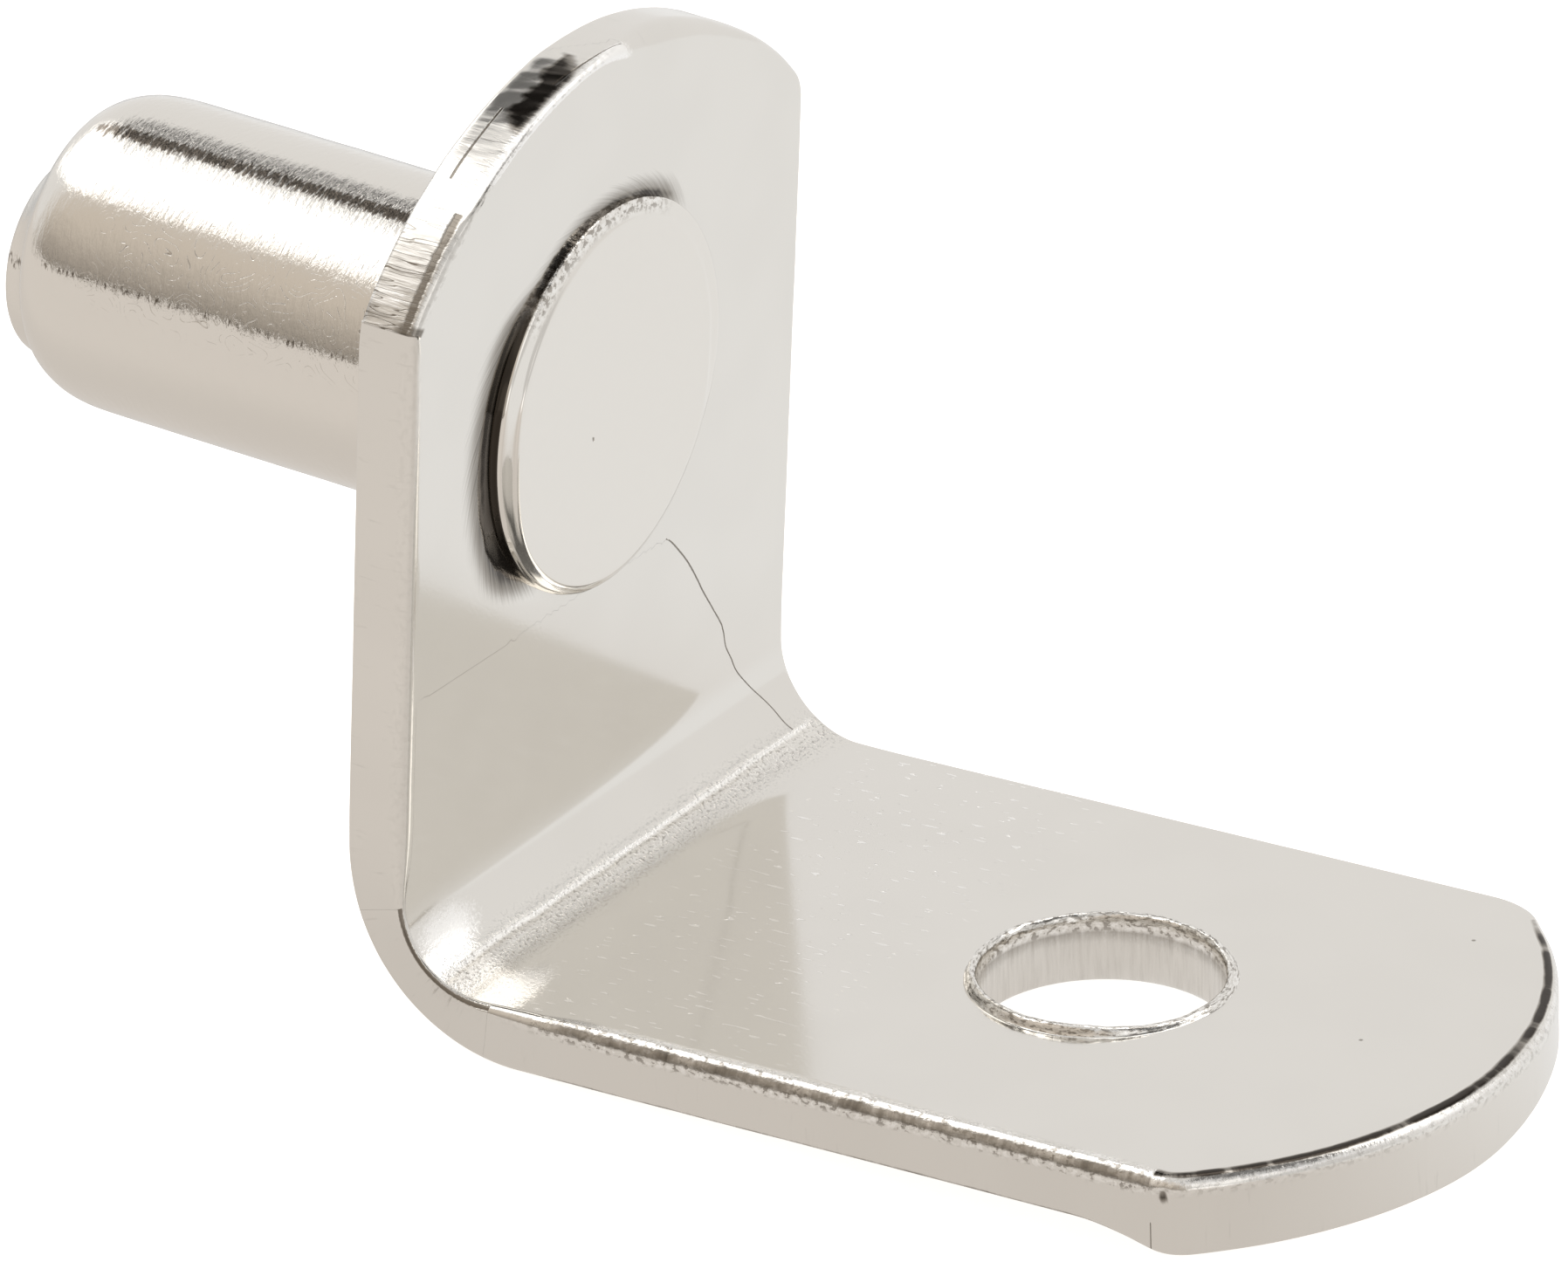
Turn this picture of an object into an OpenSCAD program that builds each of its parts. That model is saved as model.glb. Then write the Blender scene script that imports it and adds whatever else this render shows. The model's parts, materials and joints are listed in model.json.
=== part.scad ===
// Shelf support pin: a folded steel strip with a riveted locating pin.
// The origin is where the pin's axis meets the outer face of the upright leg.
// The pin points along -X, the foot reaches along +X and +Z is up.

/* [Strip] */
// Width of the strip
strip_w = 10.7; // [8:0.1:12.9]
// Thickness of the strip
strip_t = 1; // [0.8:0.05:1.3]
// Radius of the arc that closes each end of the strip
end_r = 6.9; // [6.8:0.1:9]
// Rounding of the strip's tumbled edges
edge_r = 0.2; // [0.1:0.05:0.3]

/* [Upright leg] */
// Height of the rounded top above the pin's axis
top_h = 5.7; // [5:0.1:9]
// Height of the pin's axis above the lowest point of the fold
axis_h = 8.6; // [7.5:0.1:14]

/* [Foot] */
// Length of the foot, from the centre of the fold to the rounded tip
foot_l = 13.9; // [11.5:0.1:22]
// Distance of the screw hole from the tip of the foot
hole_to_tip = 6.85; // [5:0.05:8]
// Diameter of the screw hole
hole_d = 3.9; // [3:0.1:4.8]
// Rounding of the screw hole's two rims
hole_rim_r = 0.12; // [0.05:0.01:0.2]

/* [Fold] */
// Angle between the two legs
fold_angle = 86; // [82:1:92]
// Outer radius of the fold
fold_ro = 2.9; // [2.5:0.1:3.6]
// Inner radius of the fold
fold_ri = 1.4; // [1.2:0.1:1.8]

/* [Pin] */
// Diameter of the pin
pin_d = 5; // [4.5:0.1:6.4]
// Length of the pin, from the upright leg to its flat end
pin_l = 8.4; // [6.5:0.1:12]
// Length of the rounded lead-in at the end of the pin
lead_l = 1.6; // [1:0.1:2]
// Radius of the lead-in's arc
lead_r = 3.3; // [3:0.1:5]
// Diameter of the low boss left on the pin's end
nub_d = 3.3; // [2.5:0.1:3.4]
// Height of the low boss
nub_h = 0.6; // [0.3:0.05:0.8]
// Distance of the low boss below the pin's axis
nub_drop = 0.35; // [0:0.05:0.4]
// Rounding of the low boss's rim
nub_rim_r = 0.25; // [0.05:0.05:0.3]

/* [Riveted head] */
// Diameter of the neck that fills the hole in the upright leg
neck_d = 3.6; // [3:0.1:4]
// Diameter of the flattened head
head_d = 6.2; // [5.1:0.1:7.5]
// Height of the head above the inner face of the upright leg
head_proud = 0.25; // [0.15:0.05:0.5]
// Rounding of the head's rim
head_rim_r = 0.1; // [0.05:0.01:0.15]
// Width of the sloping rim of the dish that riveting presses around the head
dish_rim = 0.65; // [0.3:0.05:0.8]
// Depth of the dish
dish_depth = 0.12; // [0.05:0.01:0.2]

/* [Hidden] */
$fn = 96;

strip_steel = "#d6d0c8";
pin_steel = "#ccc5bc";

// Length by which a cutter or a buried root passes the face that it crosses.
over = 0.5;

// The foot rises from level by this angle.
foot_rise = 90 - fold_angle;
// Centre of the fold's outer arc.
fold_x = fold_ro;
fold_z = fold_ro - axis_h;
// Centre of the fold's inner arc: its distance from the outer arc's centre, across the foot
// and along it, and then its place.
inner_across = strip_t + fold_ri - fold_ro;
inner_along = (inner_across + inner_across * sin(foot_rise)) / cos(foot_rise);
inner_x = strip_t + fold_ri;
inner_z = fold_z + inner_along * sin(foot_rise) + inner_across * cos(foot_rise);
// Straight stretch of each leg that the fold takes with it, beyond both arcs.
fold_end = max(0, inner_along) + 0.4;
// Depths of the two skins whose overlap is the folded stretch.
outer_skin = fold_ro - 0.3;
inner_skin = 2 * strip_t;

// Gap between the head and the slope of the dish.
dish_gap = 0.05;

// Puts its children on the upright leg: X up the leg from the pin's axis,
// Z into the leg from its outer face.
module on_upright() {
    rotate([0, -90, 180]) children();
}

// Puts its children on the foot: X along the foot from below the fold's centre,
// Z into the foot from its outer face.
module on_foot() {
    translate([fold_x, 0, fold_z])
        rotate([0, -foot_rise, 0])
            translate([0, 0, -fold_ro])
                children();
}

// A band that reaches back from x = 0 by the depth given, centred on y = 0,
// with the two corners at x = 0 rounded.
module rounded_band(depth, width, r) {
    translate([-depth, -width / 2]) square([depth - r, width]);
    translate([-depth, -width / 2 + r]) square([depth, width - 2 * r]);
    for (side = [-1, 1]) translate([-r, side * (width / 2 - r)]) circle(r);
}

// The same band seen from the inner face of the strip, reaching out from x = 0.
module inner_band(depth) {
    mirror([1, 0]) rounded_band(depth, strip_w, edge_r);
}

// The strip's section, from its outer face at x = 0 to its inner face.
module strip_section() {
    rounded_band(strip_t - edge_r, strip_w, edge_r);
    translate([-strip_t, 0]) inner_band(strip_t - edge_r);
}

// Runs a section of the strip along X, with its outer face at z = 0.
module straight(start, length) {
    translate([start, 0, 0])
        rotate([0, 90, 0])
            linear_extrude(length)
                children();
}

// Turns a section of the strip through the fold, about an axis along Y.
module turned(x, z) {
    translate([x, 0, z])
        rotate([90, 0, 0])
            rotate([0, 0, 180])
                rotate_extrude(angle = 180 - fold_angle)
                    children();
}

// One leg beyond the fold, closed by the end arc with its rounded edges.
module leg(start, tip) {
    intersection() {
        straight(start, tip - start) strip_section();
        union() {
            translate([tip - end_r, 0, 0])
                rotate_extrude()
                    translate([end_r, strip_t / 2])
                        rounded_band(end_r, strip_t, edge_r);
            translate([start - over, -strip_w, -over])
                cube([tip - end_r - start + over, 2 * strip_w, strip_t + 2 * over]);
        }
    }
}

// The folded stretch: what lies inside the outer skin and outside the inner arc.
module fold() {
    intersection() {
        union() {
            turned(fold_x, fold_z) translate([fold_ro, 0]) rounded_band(outer_skin, strip_w, edge_r);
            on_upright() straight(fold_z, fold_end) rounded_band(outer_skin, strip_w, edge_r);
            on_foot() straight(0, fold_end) rounded_band(outer_skin, strip_w, edge_r);
        }
        union() {
            turned(inner_x, inner_z) translate([fold_ri, 0]) inner_band(inner_skin);
            on_upright() straight(inner_z, fold_z + fold_end - inner_z)
                translate([-strip_t, 0]) inner_band(inner_skin);
            on_foot() straight(inner_along, fold_end - inner_along)
                translate([-strip_t, 0]) inner_band(inner_skin);
        }
    }
}

// Cuts a round hole through a leg, with both of its rims rounded over.
module rounded_hole(d, rim_r) {
    rotate_extrude()
        difference() {
            union() {
                translate([0, -over]) square([d / 2, strip_t + 2 * over]);
                for (rim_z = [-over, strip_t - rim_r])
                    translate([0, rim_z]) square([d / 2 + rim_r, over + rim_r]);
            }
            for (rim_z = [rim_r, strip_t - rim_r])
                translate([d / 2 + rim_r, rim_z]) circle(rim_r);
        }
}

// The shallow dish around the head, with the rivet hole at its middle.
module rivet_seat() {
    floor_d = head_d + 2 * dish_gap;
    translate([0, 0, -over]) cylinder(d = neck_d, h = strip_t + 2 * over);
    translate([0, 0, strip_t - dish_depth])
        cylinder(d1 = floor_d, d2 = floor_d + 2 * dish_rim, h = dish_depth);
    translate([0, 0, strip_t])
        cylinder(d = floor_d + 2 * dish_rim, h = over);
}

// A disc on z = 0 with its upper rim rounded.
module rimmed_disc(d, h, rim_r) {
    rotate_extrude() {
        square([d / 2 - rim_r, h]);
        square([d / 2, h - rim_r]);
        translate([d / 2 - rim_r, h - rim_r]) circle(rim_r);
    }
}

// The pin's shank from the leg to its flat end, with the lead-in rounded.
module shank() {
    rotate_extrude() {
        translate([0, lead_l - pin_l]) square([pin_d / 2, pin_l - lead_l]);
        intersection() {
            translate([0, -pin_l]) square([pin_d / 2, lead_l + over]);
            translate([pin_d / 2 - lead_r, lead_l - pin_l]) circle(lead_r);
        }
    }
}

module bracket() {
    color(strip_steel)
        difference() {
            union() {
                fold();
                on_upright() leg(fold_z + fold_end, top_h);
                on_foot() leg(fold_end, foot_l);
            }
            on_upright() rivet_seat();
            on_foot() translate([foot_l - hole_to_tip, 0, 0]) rounded_hole(hole_d, hole_rim_r);
        }
}

module pin() {
    color(pin_steel)
        on_upright() {
            shank();
            translate([-nub_drop, 0, over - pin_l])
                mirror([0, 0, 1]) rimmed_disc(nub_d, over + nub_h, nub_rim_r);
            translate([0, 0, -over]) cylinder(d = neck_d, h = strip_t + over);
            translate([0, 0, strip_t - dish_depth])
                rimmed_disc(head_d, dish_depth + head_proud, head_rim_r);
        }
}

bracket();
pin();
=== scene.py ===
"""Looks of an angled shelf support: a folded, nickel-plated strip with a riveted locating pin.

Meshes are worked out in millimetres, in the row frame, and become metres when they are made.
The strip is drawn flat first, in developed coordinates: u runs along the strip from the start
of the fold, y across it, and w into it from the outer face. The fold then bends it into shape.
"""
import json
import logging
import math
from dataclasses import dataclass, field
from enum import Enum
from typing import Any

import bmesh
import bpy
import numpy as np
from mathutils import Matrix, Vector
from mathutils.geometry import delaunay_2d_cdt


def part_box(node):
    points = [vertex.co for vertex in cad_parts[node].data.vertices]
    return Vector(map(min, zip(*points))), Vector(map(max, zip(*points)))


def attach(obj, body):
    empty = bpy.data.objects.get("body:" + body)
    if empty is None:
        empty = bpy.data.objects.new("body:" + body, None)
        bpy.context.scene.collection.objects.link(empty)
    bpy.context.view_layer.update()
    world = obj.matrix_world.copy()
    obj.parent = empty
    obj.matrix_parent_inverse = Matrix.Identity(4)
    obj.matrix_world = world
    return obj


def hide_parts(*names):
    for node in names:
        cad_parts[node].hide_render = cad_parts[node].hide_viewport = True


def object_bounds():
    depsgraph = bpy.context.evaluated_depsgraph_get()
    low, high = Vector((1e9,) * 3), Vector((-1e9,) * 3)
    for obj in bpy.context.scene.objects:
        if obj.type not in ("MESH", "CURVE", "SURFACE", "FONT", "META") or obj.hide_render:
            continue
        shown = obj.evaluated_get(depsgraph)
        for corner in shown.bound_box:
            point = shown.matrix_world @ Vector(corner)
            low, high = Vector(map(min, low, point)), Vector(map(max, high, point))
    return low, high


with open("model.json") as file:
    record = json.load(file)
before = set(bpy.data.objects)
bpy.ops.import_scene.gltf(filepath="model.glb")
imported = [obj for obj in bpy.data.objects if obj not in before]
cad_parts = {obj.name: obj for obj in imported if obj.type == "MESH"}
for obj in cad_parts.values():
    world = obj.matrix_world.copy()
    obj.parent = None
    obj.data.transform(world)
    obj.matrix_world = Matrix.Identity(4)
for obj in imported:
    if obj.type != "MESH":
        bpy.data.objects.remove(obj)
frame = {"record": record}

LOG = logging.getLogger("shelf_support")
MM = 0.001
CAD_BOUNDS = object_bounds()

Array = np.ndarray
Colour = tuple[float, float, float, float]


class Surface(Enum):
    """The named vertex attributes that the meshes carry for their finish and its painted light."""

    FLAT = "flat_place"
    EDGE = "edge_place"
    SHEAR = "shear"
    CHIPPED = "chipped"
    GALLED_AND_DARK_REFLECTION = "galled"
    GROOVE = "groove"
    LINE = "line_gap"
    SCORED = "scored"
    BRIGHT = "bright_place"


def smooth(values: Array, low: float, high: float) -> Array:
    """Eases from 0 at low to 1 at high.

    Args:
        values: The numbers to ease.
        low: Where the result leaves 0.
        high: Where the result reaches 1; it may lie below low.

    Returns:
        The eased numbers.
    """
    t = np.clip((np.asarray(values, float) - low) / (high - low), 0, 1)
    return t * t * (3 - 2 * t)


def band(values: Array, rise: tuple[float, float], fall: tuple[float, float]) -> Array:
    """Eases from 0 to 1 over the rise, and back to 0 over the fall."""
    return smooth(values, *rise) * smooth(values, fall[1], fall[0])


def hump(values: Array, middle: float, reach: float) -> Array:
    """A smooth bump of height 1 at middle that ends reach away from it."""
    return 1 - smooth(np.abs(np.asarray(values, float) - middle), 0, reach)


def folded(values: Array, period: float, start: float = 0.0) -> Array:
    """A coordinate on a closed path that runs up and back down, so that it has no seam."""
    return np.abs((np.asarray(values, float) - start + period / 2) % period - period / 2)


def path_length(places: Array) -> Array:
    """The distance along a path of places, one row each, from its start to each place."""
    return np.concatenate([[0], np.cumsum(np.hypot(*np.diff(places, axis=0).T))])


def ring_places(along: float, angle: Array, radius: float | Array) -> Array:
    """Places at an angle and a radius round one on the strip's middle line, one row each."""
    return np.stack([along + radius * np.cos(angle), radius * np.sin(angle)], -1)


@dataclass(frozen=True)
class Grain:
    """Repeatable smooth noise between -1 and 1 on arrays of coordinates."""

    seed: int
    table_size: int = 4096
    primes: tuple[int, int, int] = (73856093, 19349663, 83492791)
    layer_shift: float = 17.3

    def _corner(self, cells: list[Array], step: tuple[int, ...]) -> Array:
        """The table's value at one corner of each point's lattice cell.

        Args:
            cells: The lattice cell's number along each axis, for every point.
            step: Which corner: 0 or 1 along each axis.

        Returns:
            The values.
        """
        table = np.random.default_rng(self.seed).uniform(-1, 1, self.table_size)
        key = np.zeros_like(cells[0])
        for cell, move, prime in zip(cells, step, self.primes):
            key = key ^ ((cell + move) * prime)
        return table[key % self.table_size]

    def at(self, *coordinates: Array) -> Array:
        """Noise with one lump a unit.

        Args:
            coordinates: One to three arrays of the same shape.

        Returns:
            The noise at each point.
        """
        axes = [np.asarray(c, float) for c in np.broadcast_arrays(*coordinates)]
        cells = [np.floor(a).astype(np.int64) for a in axes]
        parts = [a - c for a, c in zip(axes, cells)]
        eased = [smooth(p, 0, 1) for p in parts]
        total = np.zeros_like(axes[0])
        for corner in range(2 ** len(axes)):
            step = tuple((corner >> k) & 1 for k in range(len(axes)))
            weight = np.ones_like(axes[0])
            for ease, move in zip(eased, step):
                weight = weight * (ease if move else 1 - ease)
            total += weight * self._corner(cells, step)
        return total

    def fine(self, *coordinates: Array, layers: int = 3) -> Array:
        """Noise with finer lumps laid over coarser ones.

        Args:
            coordinates: One to three arrays of the same shape.
            layers: How many sizes of lump.

        Returns:
            The noise at each point, still within about -1 to 1.
        """
        total, size = 0.0, 0.0
        for layer in range(layers):
            gain, shift = 0.5 ** layer, self.layer_shift * layer
            finer = [np.asarray(c, float) * 2 ** layer + shift for c in coordinates]
            total = total + gain * self.at(*finer)
            size += gain
        return total / size


@dataclass
class MeshDraft:
    """Vertices, faces and vertex attributes of one piece, gathered before the mesh is made."""

    points: list[Array] = field(default_factory=list)
    marks: dict[Surface, list[Array]] = field(default_factory=dict)
    faces: list[tuple[int, ...]] = field(default_factory=list)
    count: int = 0
    weld: float = 1.5e-6

    def add(self, points: Array, marks: dict[Surface, Array]) -> Array:
        """Adds vertices.

        Args:
            points: Their places in millimetres, one row each.
            marks: Their attribute values, for every attribute that the piece has.

        Returns:
            The new vertices' numbers.
        """
        numbers = np.arange(self.count, self.count + len(points))
        self.points.append(points)
        for name, values in marks.items():
            self.marks.setdefault(name, []).append(np.asarray(values, float))
        self.count += len(points)
        return numbers

    def bridge(self, rings: list[Array], flip: bool = False) -> None:
        """Joins closed rings of vertices with quads, each ring to the next.

        Args:
            rings: The rings' vertex numbers, from the top down. The quads face out when the
                rings turn left.
            flip: Whether the quads face the other way.
        """
        for first, second in zip(rings, rings[1:]):
            upper, lower = (second, first) if flip else (first, second)
            corners = (upper, lower, np.roll(lower, -1), np.roll(upper, -1))
            self.faces.extend(zip(*(corner.tolist() for corner in corners)))

    def cap(self, ring: Array, centre: int, outward: bool) -> None:
        """Closes a ring with triangles to a centre.

        Args:
            ring: The ring's vertex numbers.
            centre: The centre's number.
            outward: Whether the triangles turn the way that the ring does.
        """
        for a, b in zip(ring.tolist(), np.roll(ring, -1).tolist()):
            self.faces.append((a, b, centre) if outward else (b, a, centre))

    def make(self, name: str, material: bpy.types.Material) -> bpy.types.Object:
        """Makes the mesh object, in metres and smooth shaded.

        Args:
            name: The piece's name.
            material: Its finish.

        Returns:
            The new object, linked to the scene.
        """
        mesh = bpy.data.meshes.new(name)
        points = np.concatenate(self.points) * MM
        faces = [face for face in self.faces if len(set(face)) == len(face)]
        mesh.from_pydata(points.tolist(), [], faces)
        for mark, parts in self.marks.items():
            values = np.concatenate(parts)
            kind, key = ("FLOAT", "value") if values.ndim == 1 else ("FLOAT_VECTOR", "vector")
            layer = mesh.attributes.new(mark.value, kind, "POINT")
            layer.data.foreach_set(key, values.astype(np.float32).ravel())
        piece = bpy.data.objects.new(name, mesh)
        bpy.context.scene.collection.objects.link(piece)
        self._weld(mesh)
        mesh.polygons.foreach_set("use_smooth", [True] * len(mesh.polygons))
        mesh.materials.append(material)
        mesh.update()
        return piece

    def _weld(self, mesh: bpy.types.Mesh) -> None:
        """Joins the vertices that fall on each other at mitred corners.

        Args:
            mesh: The mesh, which is changed.
        """
        work = bmesh.new()
        work.from_mesh(mesh)
        bmesh.ops.remove_doubles(work, verts=work.verts, dist=self.weld)
        bmesh.ops.dissolve_degenerate(work, dist=1e-7, edges=work.edges)
        work.to_mesh(mesh)
        work.free()


# ---------------------------------------------------------------------------------------------
# Finishes
# ---------------------------------------------------------------------------------------------


class Link:
    """A node's output socket that takes part in arithmetic."""

    def __init__(self, graph: "Graph", socket: bpy.types.NodeSocket) -> None:
        """Wraps a socket of a graph."""
        self.graph = graph
        self.socket = socket

    def _math(self, operation: str, first: Any, second: Any) -> "Link":
        """One Math node on two values."""
        return self.graph.node("ShaderNodeMath", {"operation": operation}, {0: first, 1: second})

    def __add__(self, other: Any) -> "Link":
        """self + other."""
        return self._math("ADD", self, other)

    def __radd__(self, other: Any) -> "Link":
        """other + self."""
        return self._math("ADD", other, self)

    def __sub__(self, other: Any) -> "Link":
        """self - other."""
        return self._math("SUBTRACT", self, other)

    def __rsub__(self, other: Any) -> "Link":
        """other - self."""
        return self._math("SUBTRACT", other, self)

    def __mul__(self, other: Any) -> "Link":
        """self * other."""
        return self._math("MULTIPLY", self, other)

    def __rmul__(self, other: Any) -> "Link":
        """other * self."""
        return self._math("MULTIPLY", other, self)

    def __abs__(self) -> "Link":
        """The value without its sign."""
        return self.graph.node("ShaderNodeMath", {"operation": "ABSOLUTE"}, {0: self})

    def larger(self, other: Any) -> "Link":
        """The larger of the two."""
        return self._math("MAXIMUM", self, other)


class Graph:
    """Builds the node tree of one material or of the world."""

    def __init__(self, owner: bpy.types.Material | bpy.types.World) -> None:
        """Empties a node tree and takes it over.

        Args:
            owner: The material or the world that the tree belongs to.
        """
        owner.use_nodes = True
        self.tree = owner.node_tree
        self.tree.nodes.clear()

    def node(self, kind: str, settings: dict[str, Any], values: dict[Any, Any], output: Any = 0) -> Link:
        """Adds any node.

        Args:
            kind: The node's type.
            settings: Its properties, set first.
            values: A number, colour or Link for each input, by name or number.
            output: The output wanted, by name or number.

        Returns:
            That output.
        """
        node = self.tree.nodes.new(kind)
        for key, value in settings.items():
            setattr(node, key, value)
        for key, value in values.items():
            if isinstance(value, Link):
                self.tree.links.new(value.socket, node.inputs[key])
            else:
                node.inputs[key].default_value = value
        return Link(self, node.outputs[output])

    def attribute(self, surface: Surface, vector: bool = False) -> Link:
        """Reads a vertex attribute, as a value or as a vector."""
        settings = {"attribute_name": surface.value, "attribute_type": "GEOMETRY"}
        return self.node("ShaderNodeAttribute", settings, {}, "Vector" if vector else "Fac")

    def stretched(self, place: Link, along: float, across: float, deep: float = 1.0) -> Link:
        """Scales a place, so that a pattern on it comes out long or narrow."""
        values = {0: place, 1: (along, across, deep)}
        return self.node("ShaderNodeVectorMath", {"operation": "MULTIPLY"}, values, "Vector")

    def noise(self, place: Link, scale: float, detail: float = 3.0, rough: float = 0.55) -> Link:
        """Noise around 0.5 on the first two coordinates."""
        values = {"Vector": place, "Scale": scale, "Detail": detail, "Roughness": rough}
        return self.node("ShaderNodeTexNoise", {"noise_dimensions": "2D"}, values)

    def eased(self, value: Link, low: float, high: float, start: float = 0.0, end: float = 1.0) -> Link:
        """Eases a value with a Map Range node.

        Args:
            value: The value.
            low: Where the result is start.
            high: Where the result is end; it may lie below low.
            start: The result at low.
            end: The result at high.

        Returns:
            The eased value.
        """
        settings = {"interpolation_type": "SMOOTHSTEP", "clamp": True}
        values = {"Value": value, "From Min": low, "From Max": high, "To Min": start, "To Max": end}
        return self.node("ShaderNodeMapRange", settings, values)

    def blend(self, amount: Any, first: Any, second: Any) -> Link:
        """Blends two colours."""
        return self.node("ShaderNodeMix", {"data_type": "RGBA"}, {0: amount, 6: first, 7: second}, 2)

    def bump(self, height: Link) -> Link:
        """A Bump node for a height in millimetres."""
        values = {"Height": height, "Distance": MM, "Strength": 1.0}
        return self.node("ShaderNodeBump", {}, values, "Normal")

    def dot(self, vector: Link, axis: Vector) -> Link:
        """The dot product of a linked vector and a fixed one."""
        settings = {"operation": "DOT_PRODUCT"}
        return self.node("ShaderNodeVectorMath", settings, {0: vector, 1: tuple(axis)}, "Value")

    def spot(self, place: Link, middle: tuple[float, float], reach: float) -> Link:
        """A small soft spot on the first two coordinates.

        Args:
            place: Where the surface is.
            middle: The spot's middle.
            reach: Its radius.

        Returns:
            How much of the spot there is, from 0 to 1.
        """
        values = {0: self.stretched(place, 1.0, 1.0, 0.0), 1: (*middle, 0.0)}
        gap = self.node("ShaderNodeVectorMath", {"operation": "DISTANCE"}, values, "Value")
        return self.eased(gap, reach, reach * 0.4)

    def is_ray(self, kind: str) -> Link:
        """1 for the kind of ray named, as Light Path gives it."""
        return self.node("ShaderNodeLightPath", {}, {}, f"Is {kind} Ray")

    def close(self, shader: Link, kind: str = "ShaderNodeOutputMaterial") -> None:
        """Links a shader to the tree's output."""
        output = self.tree.nodes.new(kind)
        self.tree.links.new(shader.socket, output.inputs["Surface"])


@dataclass(frozen=True)
class Nickel:
    """Bright nickel plate: its colours, and what the finishes of both pieces share."""

    colour: Colour = (0.80, 0.775, 0.73, 1.0)
    # Brown: for stains and marks of use, for painted shade and for painted dark reflections.
    brown: Colour = (0.16, 0.135, 0.105, 1.0)
    # Near white: the colour of the painted highlights and glints, and of the bright scratches.
    highlight_and_frost: Colour = (1.0, 0.985, 0.955, 1.0)

    def material(self, name: str) -> bpy.types.Material:
        """Builds the material.

        Args:
            name: The material's name.

        Returns:
            The new material.
        """
        made = bpy.data.materials.new(name)
        g = Graph(made)
        tone, rough, relief = self.layers(g)
        values = {"Base Color": tone, "Metallic": 1.0, "Roughness": rough, "Normal": g.bump(relief)}
        g.close(g.node("ShaderNodeBsdfPrincipled", {}, values))
        return made

    def layers(self, g: Graph) -> tuple[Link, Link, Link]:
        """The colour, roughness and relief, which each finish lays for itself."""
        raise NotImplementedError

    @staticmethod
    def painted_glints(g: Graph, chipped: Link, chips: Link) -> Link:
        """Painted glints: bright specks on a chipped rim."""
        return chipped * g.eased(chips, 0.46, 0.38, 0.0, 0.8)


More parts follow.
